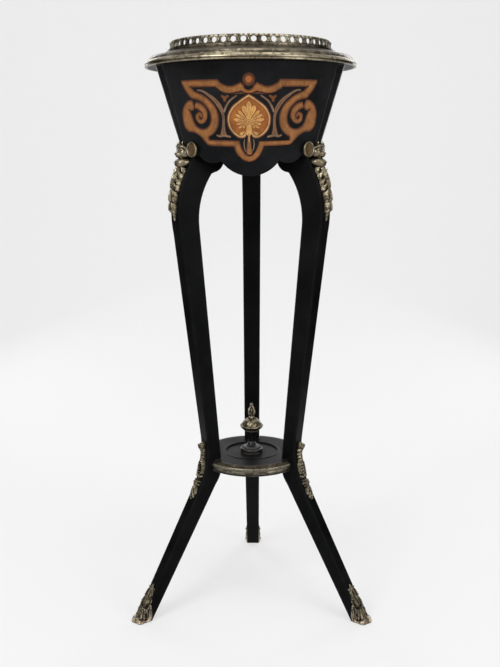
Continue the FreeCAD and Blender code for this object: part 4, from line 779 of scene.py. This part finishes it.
# Curled lobes up the leaf: the top and the height of each, and how one lobe runs down from its top
KNEE_LOBES = ((860, 12.4), (849, 13), (838, 13.6), (828, 13.8))
KNEE_LOBE_RUN = ((3.4, 0, 2.6, 1), (7.2, 4.6, 2.7, 0.88), (9.6, 10, 1.7, 0.66), (9.2, 12.4, 0.7, 0.5))
KNEE_LOW, KNEE_HIGH, KNEE_REACH = 760, 869, 14


def knee_leaves():
    """The leaf drop on the knee: an acanthus husk that curls out, a second husk and a bell-flower tip."""
    strokes = stroked("round", KNEE_RIB, HUSK_RIB, BELL_RIB) + stroked("leaf", KNEE_TIP)
    for top, tall in KNEE_LOBES:
        run = [(aside, top - down, half, tall * share) for aside, down, half, share in KNEE_LOBE_RUN]
        strokes += paired("leaf", run)
    strokes += paired("leaf", HUSK_LOBE, BELL_LOBE)
    mesh = relief("knee_drop", strokes, KNEE_LOW, KNEE_HIGH, KNEE_REACH)
    show_on_legs(mesh, "knee_leaf", BRONZE, "knee_drop")


# Strokes of the ankle mount, from its bud down to its tail
ANKLE_BUD = [(0, 332.8, 3.0, 13.6), (0, 329, 2.8, 13.2), (0, 325, 2.2, 11.2), (0, 319, 1.6, 8.6)]
ANKLE_STEM = [(0, 327, 1.6, 9), (0, 312, 2.0, 8), (0, 300, 2.4, 8.6)]
STEM_KNOBS = ((320.5, 2.5), (314, 2.8), (307.5, 3.2), (300.5, 3.7))
OVAL_SIDE = [
    (1.6, 298.5, 1.8, 8.6), (6.4, 294, 1.7, 7.2), (8.4, 285, 1.7, 6.6), (7.4, 276, 1.7, 6.8),
    (2.6, 270.6, 1.9, 8.6)]
OVAL_FOOT = [(1.2, 271, 1.8, 9), (6.0, 267.6, 1.6, 7), (8.6, 270.6, 1.1, 5.2)]
BAR_TOP, BAR_PITCH, BAR_COUNT = 293.5, 5.4, 4
BAR_RUN = ((-6.2, -3.8, 0.9, 5.4), (0, -1, 1.2, 8.2), (6.2, 2.6, 0.9, 5.4))
ROSETTE_UP, ROSETTE_PETALS, PETAL_RUN = 256.4, 7, ((2.2, 1.6, 10.6), (6.8, 2.0, 8.0))
ROSETTE_EYE = [(0, ROSETTE_UP, 2.7, 11.6), (0, ROSETTE_UP + 0.1, 2.7, 11.6)]
TAIL_LEAF = [(0, 248, 3.4, 9.4), (0, 239, 3.2, 9.2), (0, 231, 2.2, 7.4), (0, 226, 1.1, 4)]
TAIL_LOBES = [[(1.8, 247, 1.6, 8), (6.2, 242.4, 1.6, 6.4), (7.2, 236.6, 0.9, 4.2)],
              [(1.6, 238.6, 1.5, 7), (4.6, 233.6, 1.3, 5.2), (4.6, 229.6, 0.8, 3.6)]]
ANKLE_LOW, ANKLE_HIGH, ANKLE_REACH = 222, 336, 14


def ankle_leaves():
    """The ankle's mount: a bud, a beaded stem, an open oval of slanted bars, a rosette and a tail leaf."""
    strokes = stroked("peg", ANKLE_BUD) + stroked("round", ANKLE_STEM, ROSETTE_EYE)
    strokes += stroked("leaf", TAIL_LEAF) + paired("leaf", *TAIL_LOBES)
    strokes += paired("round", OVAL_SIDE, OVAL_FOOT)
    for level, size in STEM_KNOBS:
        knob = [(1.4, level + 1.4, size * 0.45, 8.4), (size + 1.0, level - 2.0, 1.3, 5.4)]
        strokes += paired("round", knob)
    for k in range(BAR_COUNT):
        run = [(aside, BAR_TOP - BAR_PITCH * k + rise, half, tall) for aside, rise, half, tall in BAR_RUN]
        strokes += stroked("round", run)
    for k in range(ROSETTE_PETALS):
        a = TAU * (k + 0.5) / ROSETTE_PETALS
        petal = [(r * math.cos(a), ROSETTE_UP + r * math.sin(a), half, tall) for r, half, tall in PETAL_RUN]
        strokes += stroked("leaf", petal)
    mesh = relief("ankle_mount_relief", strokes, ANKLE_LOW, ANKLE_HIGH, ANKLE_REACH)
    show_on_legs(mesh, "ankle_leaf", ANKLE_BRONZE, "ankle_mount")


# Strokes of the foot's shoe, from its leaf down to the toe
SHOE_LEAF = [
    (0, 67, 1.2, 3.0), (0, 58, 3.2, 4.6), (0, 48, 4.6, 5.6), (0, 38, 4.4, 6.2), (0, 31, 2.4, 5.6)]
SHOE_SCROLLS = [
    [(2.4, 62, 1.3, 3.2), (7.6, 56.6, 1.7, 3.8), (9.4, 49, 1.8, 4.2), (7.4, 43.4, 1.8, 4.8),
     (4.6, 41, 1.6, 4.8)],
    [(8.6, 61, 2.1, 3.2), (8.7, 60.9, 2.1, 3.2)], [(11.6, 45, 2.0, 3.6), (11.7, 44.9, 2.0, 3.6)],
    [(7.0, 41, 2.4, 5.4), (8.6, 34.6, 2.8, 6.4), (6.8, 28.6, 2.0, 6.6)],
    [(13.8, 42, 1.2, 2.4), (14.6, 32, 1.4, 3), (13.4, 24, 1.6, 3.6)],
    [(18.6, 28, 2.0, 1.6), (23, 18, 3.4, 1.8), (27, 9, 4.4, 1.8), (28, 4, 4.4, 1.8)]]
# Flutes: how far aside each runs, and its half width
SHOE_FLUTES = ((0, 2.2), (4.8, 2.0), (9.6, 2.0), (14.2, 1.9), (18.6, 1.9))
TOE_BAND = [
    (-31, 2, 2.2, 2.2), (-18, 2, 2.4, 3.4), (-9, 1.8, 2.4, 8.6), (0, 1.6, 2.6, 13), (9, 1.8, 2.4, 8.6),
    (18, 2, 2.4, 3.4), (31, 2, 2.2, 2.2)]
TOE_ROLL = [
    (-17, 4.6, 2.0, 2.8), (-9, 4.4, 2.8, 8.8), (0, 4.2, 3.4, 15.2), (9, 4.4, 2.8, 8.8),
    (17, 4.6, 2.0, 2.8)]
SHOE_LOW, SHOE_HIGH, SHOE_REACH = 0.4, 69, 33


def flute(x, half):
    """One flute of the shoe. It gets lower towards the leg's edges."""
    return [(x * 0.66, 26 - 0.1 * x, half * 0.6, 5.6 - 0.1 * x), (x * 0.86, 19, half * 0.8, 6.2 - 0.15 * x),
            (x, 12, half * 0.9, 6.6 - 0.18 * x), (x * 1.04, 9, half * 0.8, 6.4 - 0.18 * x)]


def shoes():
    """The foot's leaf shoe: a pierced leaf, hanging lobes, flutes down to the rolled toe and a base band."""
    strokes = stroked("leaf", SHOE_LEAF) + stroked("round", TOE_BAND, TOE_ROLL)
    strokes += paired("round", *SHOE_SCROLLS, *[flute(x, half) for x, half in SHOE_FLUTES])
    mesh = relief("sabot_relief", strokes, SHOE_LOW, SHOE_HIGH, SHOE_REACH)
    show_on_legs(mesh, "sabot_leaf", FOOT_BRONZE, "sabot")


# The knee masks. A point is out from the axis, aside and up.

MASK_HEAD = [
    ((135, 0, 886.6), (14, 14.6, 13)), ((145.6, 0, 881), (9.0, 8.2, 6.6)),
    ((153.4, 0, 882.6), (2.2, 3.8, 2.4)), ((141, 0, 894), (8.2, 9.4, 5.4)),
    ((143, 0, 876.4), (6.6, 7.6, 4.2))]
CHEEK, CHEEK_RADII = (139.6, 7.2, 884), (9.4, 7.8, 9.0)
BROW = [(149.4, 3, 894.4, 1.5), (148, 8, 895.6, 2.0), (143.6, 12.6, 894, 2.1), (137.6, 15, 890, 1.2)]
TUFTS = [
    [(145.6, 1.6, 897.4, 2.0), (148.6, 2.0, 900.8, 1.2), (148.4, 2.4, 903.2, 0.5)],
    [(142, 6, 898, 2.0), (144, 7, 901.2, 1.2), (143, 7.8, 903.6, 0.5)],
    [(137, 9.4, 898, 2.0), (138.6, 11, 901.4, 1.2), (137, 12, 904, 0.5)],
    [(131, 11.4, 897, 2.0), (131.6, 13.4, 900.6, 1.2), (129.6, 14.4, 903, 0.5)]]
MASK_ROLL = [
    (133, -9.8, 868.6, 5.0), (141, -8.8, 867.2, 6.8), (146.6, -5, 866, 7.6), (148, 0, 865.6, 7.8),
    (146.6, 5, 866, 7.6), (141, 8.8, 867.2, 6.8), (133, 9.8, 868.6, 5.0)]
# Hollows on one side of the face, each a centre, reach and depth: nostril, eye and the line of the mouth
MASK_DENTS = [((154.6, 3.2, 881), 2.4, 2.2), ((147.4, 9.6, 890.4), 3.2, 2.6)]
MASK_DENTS += [((152.6 - 2.2 * k, 0.8 + 2.3 * k, 877 + 0.3 * k), 1.8, 1.1) for k in range(5)]
# An ear's section from its middle out: radius and depth, with the hollow first
EAR_SECTION = [
    (0, -0.6), (4, -0.7), (7.6, -0.5), (10.2, 0.5), (11.4, 2.0), (12.4, 2.9), (13.4, 2.7), (14, 1.2),
    (13.4, -1.6), (10, -3.6), (0, -4.6)]
EAR_HOLLOW_ROWS = 4
EAR_SIDES = 40
EAR_OVAL_SHARE = 0.98
EAR_TURN = 12
EAR_CENTRE = (134, 26, 889.8)
EAR_ROOT, EAR_ROOT_RADII = (129, 15.4, 887), (4.4, 6.4, 8)
EYE, EYE_RADII = (145, 9, 889.8), (2.0, 2.0, 1.6)
STRAND_STEPS = 5
WELD = 1e-6


def ellipsoid(shape, centre, radii, turn=None, fine=3):
    """Add an ellipsoid to a shape."""
    spin = (turn or Matrix.Identity(3)).to_4x4()
    matrix = Matrix.Translation(Vector(centre) * MM) @ spin @ Matrix.Diagonal((*[r * MM for r in radii], 1))
    bmesh.ops.create_icosphere(shape, subdivisions=fine, radius=1, matrix=matrix)


def strand(shape, points, sides=10):
    """Add a closed tube through points of out, aside, up and radius."""
    path = [np.array(p[:3], float) for p in points]
    fine = []
    for i in range(len(path) - 1):
        before, after = path[max(i - 1, 0)], path[min(i + 2, len(path) - 1)]
        for k in range(STRAND_STEPS):
            t = k / STRAND_STEPS
            radius = points[i][3] + (points[i + 1][3] - points[i][3]) * t
            fine.append((between(before, path[i], path[i + 1], after, t), radius))
    fine.append((path[-1], points[-1][3]))
    rings = []
    for i, (spot, radius) in enumerate(fine):
        along = Vector(fine[min(i + 1, len(fine) - 1)][0] - fine[max(i - 1, 0)][0]).normalized()
        one = along.orthogonal().normalized()
        other = along.cross(one)
        edge = [Vector(spot) + (one * math.cos(a) + other * math.sin(a)) * radius for a in turns(sides)]
        rings.append([shape.verts.new(point * MM) for point in edge])
    for low, high in zip(rings, rings[1:]):
        start = min(range(sides), key=lambda k: (high[k].co - low[0].co).length)
        for k in range(sides):
            upper = (high[(start + k + 1) % sides], high[(start + k) % sides])
            shape.faces.new((low[k], low[(k + 1) % sides], *upper))
    shape.faces.new(rings[0][::-1])
    shape.faces.new(rings[-1])


def on_side(point, side):
    """A point on one side of the middle: 1 keeps it, and -1 gives its mirror image."""
    return (point[0], side * point[1], *point[2:])


def cast(name, shape, voxel=0.55, rounds=2):
    """Melt a shape's overlapping parts into one skin."""
    bmesh.ops.recalc_face_normals(shape, faces=shape.faces[:])
    raw = mesh_of(name, shape)
    holder = put(name, raw)
    melt = holder.modifiers.new("melt", "REMESH")
    melt.mode = "VOXEL"
    melt.voxel_size = voxel * MM
    soft = holder.modifiers.new("soft", "SMOOTH")
    soft.factor = 0.5
    soft.iterations = rounds
    bpy.context.view_layer.update()
    mesh = bpy.data.meshes.new_from_object(holder.evaluated_get(bpy.context.evaluated_depsgraph_get()))
    mesh.name = name
    bpy.data.objects.remove(holder)
    bpy.data.meshes.remove(raw)
    return mesh


def dent(mesh, centre, reach, depth):
    """Press a hollow into a mesh."""
    middle = Vector(centre) * MM
    for v in mesh.vertices:
        share = (v.co - middle).length / (reach * MM)
        if share < 1:
            v.co -= v.normal * depth * MM * (1 - share**2) ** 2


def add_ear(shape, side):
    """Add one ear, a rolled dish that faces outward, with its root and the eye beside it."""
    facing = Matrix.Rotation(math.radians(side * EAR_TURN), 3, "Z") @ Matrix.Rotation(math.pi / 2, 3, "Y")
    centre = Vector(on_side(EAR_CENTRE, side))
    rows = []
    for radius, depth in EAR_SECTION:
        oval = radius * EAR_OVAL_SHARE
        spots = [(radius * math.cos(a), oval * math.sin(a), depth) for a in turns(EAR_SIDES)]
        rows.append([shape.verts.new((facing @ Vector(spot) + centre) * MM) for spot in spots])
    for index, (low, high) in enumerate(zip(rows, rows[1:])):
        for k in range(EAR_SIDES):
            after = (k + 1) % EAR_SIDES
            face = shape.faces.new((low[k], low[after], high[after], high[k]))
            face.material_index = int(index < EAR_HOLLOW_ROWS)
    ellipsoid(shape, on_side(EAR_ROOT, side), EAR_ROOT_RADII, fine=2)
    ellipsoid(shape, on_side(EYE, side), EYE_RADII, fine=2)


def masks():
    """The beast's mask on each knee: snout, brow, cheeks, dished ears, crest tufts and a rolled collar."""
    shape = bmesh.new()
    for centre, radii in MASK_HEAD:
        ellipsoid(shape, centre, radii)
    for side in (1, -1):
        ellipsoid(shape, on_side(CHEEK, side), CHEEK_RADII)
        for line in (BROW, *TUFTS):
            strand(shape, [on_side(point, side) for point in line])
    strand(shape, MASK_ROLL, sides=16)
    mesh = cast("knee_mask_cast", shape)
    for side in (1, -1):
        for centre, reach, depth in MASK_DENTS:
            dent(mesh, on_side(centre, side), reach, depth)
    whole = bmesh.new()
    for side in (1, -1):
        add_ear(whole, side)
    bmesh.ops.remove_doubles(whole, verts=whole.verts[:], dist=WELD)
    bmesh.ops.recalc_face_normals(whole, faces=whole.faces[:])
    whole.from_mesh(mesh)
    whole.to_mesh(mesh)
    whole.free()
    mesh.materials.append(MASK_BRONZE)
    mesh.materials.append(EAR_BRONZE)
    show_on_legs(mesh, "beast_mask", None, "knee_mask")


# Turned and milled pieces. A section's point is a radius and a height.

STRIP_HALF_ANGLE = 50.2
STRIP_SECTION = [
    (91.2, 302), (94.9, 302), (95.7, 301.2), (96.0, 299), (95.8, 297.4), (96.2, 296.8), (96.2, 289.6),
    (96.8, 288.6), (97.2, 286.6), (96.9, 284.8), (96.0, 284), (95.7, 284), (95.7, 290.9), (91.2, 290.9)]
STRIP_SIDES = 90
MILLED_RADIUS, MILLED_TOP, MILLED_HEIGHT, MILLED_SWELL = 96.1, 296.6, 6.8, 1.5
MILLED_STEPS, MILLED_SIDES, MILL_DEPTH = 12, 1020, 0.6
CAP_SECTION = [
    (3.3, 345.8), (16.2, 345.8), (18.4, 347.6), (20.6, 349.8), (22.4, 352.2), (23, 353.6), (22.6, 354.6),
    (21.2, 355.0), (19.4, 355.2), (19.0, 356.2), (19.2, 357.4), (18.4, 359.4), (16.9, 361.8),
    (15.0, 364.2), (12.6, 366.2), (10.2, 367.6), (6, 368), (3.3, 368)]
CAP_SIDES = 288
# Balls of the flame: the one under its leaves, the bud inside them and the bead on top
FLAME_BALLS = (((0, 0, 369.6), (5.8, 5.8, 3.6)), ((0, 0, 384), (3.0, 3.0, 4.2)),
               ((0, 0, 396.0), (3.4, 3.4, 3.8)))
FLAME_CORE = [(0, 0, 371, 2.6), (0, 0, 376, 1.7), (0, 0, 390, 1.3)]
# One leaf of the flame: out from its middle, up and radius
FLAME_LEAF = [(1.8, 373, 1.5), (6.4, 377.4, 1.6), (8.0, 383.6, 1.5), (5.2, 389.4, 1.4), (1.0, 393.4, 1.3)]
FLAME_LEAVES, FLAME_TURN = 4, math.radians(45)


def lathe(name, section, sides, ripple, span=(0, 360)):
    """A turned mesh. ripple, if any, changes each radius by its share of the section and its angle."""
    whole = span == (0, 360)
    count = sides if whole else sides + 1
    points, faces = [], []
    for row, (radius, height) in enumerate(section):
        for k in range(count):
            a = math.radians(span[0] + (span[1] - span[0]) * k / sides)
            r = radius + (ripple(row / (len(section) - 1), a) if ripple else 0)
            points.append((r * math.cos(a), r * math.sin(a), height))
    for row in range(0, (len(section) - 1) * count, count):
        for k in range(sides):
            after = (k + 1) % count
            faces.append((row + k, row + after, row + count + after, row + count + k))
    return mesh_from(name, points, faces)


def milling(share, angle):
    """The fine cuts across the milled bead, which stop short of its edges."""
    return -MILL_DEPTH * max(0, math.cos(angle * 160)) ** 2 if 0.1 < share < 0.9 else 0


def cap_leaves(share, angle):
    """The twelve lobes round the cap's bell."""
    return 0.9 * abs(math.cos(angle * 6)) ** 0.6 - 0.8 if 0.55 < share < 0.92 else 0


def shelf_strips():
    """The shelf's bronze edge between the legs: a dark moulding with a rubbed, milled bead on it."""
    span = (-90 - STRIP_HALF_ANGLE, -90 + STRIP_HALF_ANGLE)
    bead = []
    for k in range(MILLED_STEPS + 1):
        swell = MILLED_SWELL * math.sin(math.pi * k / MILLED_STEPS) ** 0.8
        bead.append((MILLED_RADIUS + swell, MILLED_TOP - MILLED_HEIGHT * k / MILLED_STEPS))
    back = lathe("shelf_strip_back", STRIP_SECTION, STRIP_SIDES, None, span)
    front = lathe("shelf_strip_bead", bead, MILLED_SIDES, milling, span)
    for side, turn in PANEL_TURNS.items():
        show(back, f"{side}_strip_back", BACK_BRONZE, turn, replaces=[f"{side}_shelf_strip"])
        show(front, f"{side}_milled_bead", STRIP_BRONZE, turn)


def finial_tops():
    """The finial's cap, a smooth bowl with a leafy bell above it, and its openwork bud of four leaves."""
    cap = lathe("finial_cap_gadroons", CAP_SECTION, CAP_SIDES, cap_leaves)
    show(cap, "gadrooned_cap", FINIAL_BRONZE, replaces=["finial_cap"])
    shape = bmesh.new()
    for centre, radii in FLAME_BALLS:
        ellipsoid(shape, centre, radii)
    strand(shape, FLAME_CORE)
    for turn in turns(FLAME_LEAVES):
        a = FLAME_TURN + turn
        strand(shape, [(out * math.cos(a), out * math.sin(a), up, radius) for out, up, radius in FLAME_LEAF])
    flame = cast("finial_flame_cast", shape, voxel=0.4, rounds=1)
    show(flame, "openwork_flame", FLAME_BRONZE, replaces=["finial_flame"])


# Beads and brackets of the gallery. The holes are the solid gallery's own.
HOLES = 53
FIRST_HOLE_TURN = -90 + 2.8
BEAD_RING, BEAD_UP, BEAD_RADII = 144.6, 1077.3, (2.9, 2.9, 2.6)
BRACKET_RADII = (146.0, 142.9)
BRACKET_DEPTH = 0.9
# Balls of one bracket: aside, up, half width and half height
BRACKET_BALLS = (
    (0, 1072, 1.2, 3.4), (-1.9, 1068.4, 1.0, 1.9), (1.9, 1068.4, 1.0, 1.9), (-1.7, 1075.2, 1.0, 1.7),
    (1.7, 1075.2, 1.0, 1.7))


def gallery_trim():
    """Beads along the gallery's top edge and a small bracket between each two holes."""
    beads, brackets = bmesh.new(), bmesh.new()
    for k in range(2 * HOLES):
        a = math.radians(FIRST_HOLE_TURN + 360 * (k + 0.5) / (2 * HOLES))
        centre = (BEAD_RING * math.cos(a), BEAD_RING * math.sin(a), BEAD_UP)
        ellipsoid(beads, centre, BEAD_RADII, fine=2)
    for k in range(HOLES):
        spin = Matrix.Rotation(math.radians(FIRST_HOLE_TURN + 360 * (k + 0.5) / HOLES), 3, "Z")
        for out in BRACKET_RADII:
            for aside, up, wide, tall in BRACKET_BALLS:
                spot = spin @ Vector((out, aside, 0))
                ellipsoid(brackets, (spot.x, spot.y, up), (BRACKET_DEPTH, wide, tall), spin, fine=1)
    show(mesh_of("gallery_beads", beads), "gallery_beads", GALLERY_BRONZE)
    show(mesh_of("gallery_brackets", brackets), "gallery_brackets", GALLERY_BRONZE)


marquetry(["front"], FRONT_SHIFT)
marquetry(["right", "left"], 0)
knee_leaves()
ankle_leaves()
shoes()
masks()
shelf_strips()
finial_tops()
gallery_trim()


# Floor, light and camera. Lengths are metres in lamps and camera, and millimetres in meshes.

HALF_FLOOR = 6000
FLOOR_FRONT, FLOOR_BEND, FLOOR_TOP = -4000, 1200, 5000
BEND_STEPS = 16
FLAG_TOP = 1350
FLAG_BOTTOM_EDGES = {"left_flag": ((-900, 0), (-800, 1000)), "right_flag": ((900, 0), (800, 1000))}
GLOW_SHARE = 0.6
SKY_STRENGTH = 0.45
# Lamps: where each stands, what it points at, its width and height, and its power
LAMPS = {
    "key": ((-1.6, -2.2, 2.3), (0, 0, 0.8), (1.2, 1.6), 42),
    "fill": ((1.9, -1.8, 1.5), (0, 0, 0.7), (1.2, 1.8), 22),
    "top": ((0.1, -0.3, 2.7), (0, 0, 0.9), (1.4, 1.4), 20),
    "left_edge": ((-1.0, 1.5, 1.2), (0, 0, 0.8), (0.3, 1.6), 7),
    "right_edge": ((1.0, 1.5, 1.2), (0, 0, 0.8), (0.3, 1.6), 7)}
# The photograph's camera, from the perspective fit: focal length and shift in pixels of its 667 rows
PHOTO_ROWS, FOCAL_PIXELS, SHIFT_PIXELS = 667, 916, -1.3
SENSOR_HEIGHT = 36
CAMERA_SPOT = (0, -1.743, 0.894)
CAMERA_DOWN, CAMERA_ROLL, CAMERA_ROUND = 11.51, -0.18, 0.6


def straight_rays(tree):
    """1 for what the camera sees itself, in a reflection or through glass, and 0 for other light."""
    rays = node(tree, "ShaderNodeLightPath").outputs
    total = rays["Is Camera Ray"]
    for kind in ("Is Glossy Ray", "Is Transmission Ray"):
        total = node(tree, "ShaderNodeMath", {0: total, 1: rays[kind]}, operation="ADD").outputs[0]
    return total


def blend_shaders(tree, share, one, other, output):
    """Put a mix of two shaders on an output."""
    blend = node(tree, "ShaderNodeMixShader", {0: share, 1: one.outputs[0], 2: other.outputs[0]})
    tree.links.new(blend.outputs[0], tree.nodes[output].inputs["Surface"])


def stage():
    """A pale floor that curves up behind, lit softly."""
    points, faces = [], []
    section = [(FLOOR_FRONT, 0), (FLOOR_BEND, 0)]
    for k in range(1, BEND_STEPS + 1):
        a = math.pi / 2 * k / BEND_STEPS
        section.append((FLOOR_BEND * (1 + math.sin(a)), FLOOR_BEND * (1 - math.cos(a))))
    section += [(2 * FLOOR_BEND, FLOOR_TOP)]
    for y, z in section:
        points += [(-HALF_FLOOR, y, z), (HALF_FLOOR, y, z)]
    for k in range(len(section) - 1):
        faces.append((2 * k, 2 * k + 1, 2 * k + 3, 2 * k + 2))
    mesh = mesh_from("backdrop", points, faces)
    material, tree, shader = new_material("backdrop_white", Roughness=0.9, Base_Color=opaque(FLOOR_GREY))
    glow = node(tree, "ShaderNodeEmission", {"Color": opaque(FLOOR_GLOW), "Strength": 1.0})
    share = node(tree, "ShaderNodeMath", {0: straight_rays(tree), 1: GLOW_SHARE}, operation="MULTIPLY")
    blend_shaders(tree, share.outputs[0], shader, glow, "Material Output")
    mesh.materials.append(material)
    smooth(mesh)
    floor = put("backdrop", mesh)


def flags():
    """Black studio flags beside the object, seen in its reflections alone."""
    matt = {"Roughness": 1.0, "Specular_IOR_Level": 0.0, "Base_Color": opaque(FLAG_BLACK)}
    black = new_material("flag_black", **matt)[0]
    for name, (one, other) in FLAG_BOTTOM_EDGES.items():
        corners = [(*one, 0), (*other, 0), (*other, FLAG_TOP), (*one, FLAG_TOP)]
        mesh = mesh_from(name, corners, [(0, 1, 2, 3)])
        mesh.materials.append(black)
        thing = put(name, mesh)
        thing.visible_camera = thing.visible_diffuse = False
        thing.visible_shadow = thing.visible_transmission = False


def sky():
    """A soft white sky that lights the object, and a pale one behind it."""
    world = bpy.data.worlds.new("studio")
    bpy.context.scene.world = world
    world.use_nodes = True
    tree = world.node_tree
    lit = tree.nodes["Background"]
    lit.inputs["Color"].default_value = (1, 1, 1, 1)
    lit.inputs["Strength"].default_value = SKY_STRENGTH
    pale = node(tree, "ShaderNodeBackground", {"Color": opaque(WORLD_PALE), "Strength": 1.0})
    blend_shaders(tree, straight_rays(tree), lit, pale, "World Output")


def lamp(name, spot, target, size, power):
    """A soft square lamp."""
    data = bpy.data.lights.new(name, "AREA")
    data.shape = "RECTANGLE"
    data.size, data.size_y = size
    data.energy = power
    thing = put(name, data)
    thing.location = spot
    thing.rotation_euler = (Vector(target) - Vector(spot)).to_track_quat("-Z", "Y").to_euler()
    thing.visible_camera = False


def photo_camera():
    """The camera as it stood for the photograph."""
    camera = put("camera", bpy.data.cameras.new("camera"))
    camera.data.sensor_fit = "VERTICAL"
    camera.data.sensor_height = SENSOR_HEIGHT
    camera.data.lens = FOCAL_PIXELS / PHOTO_ROWS * SENSOR_HEIGHT
    camera.data.shift_x = SHIFT_PIXELS / PHOTO_ROWS
    camera.data.clip_start = 0.01
    tilt = Matrix.Rotation(math.radians(90 - CAMERA_DOWN), 4, "X")
    roll = Matrix.Rotation(math.radians(CAMERA_ROLL), 4, "Z")
    turn = Matrix.Rotation(math.radians(CAMERA_ROUND), 4, "Z")
    camera.matrix_world = turn @ Matrix.Translation(CAMERA_SPOT) @ tilt @ roll
    bpy.context.scene.camera = camera


stage()
flags()
sky()
for name, settings in LAMPS.items():
    lamp(name, *settings)
bpy.context.scene.view_settings.view_transform = "Standard"
photo_camera()
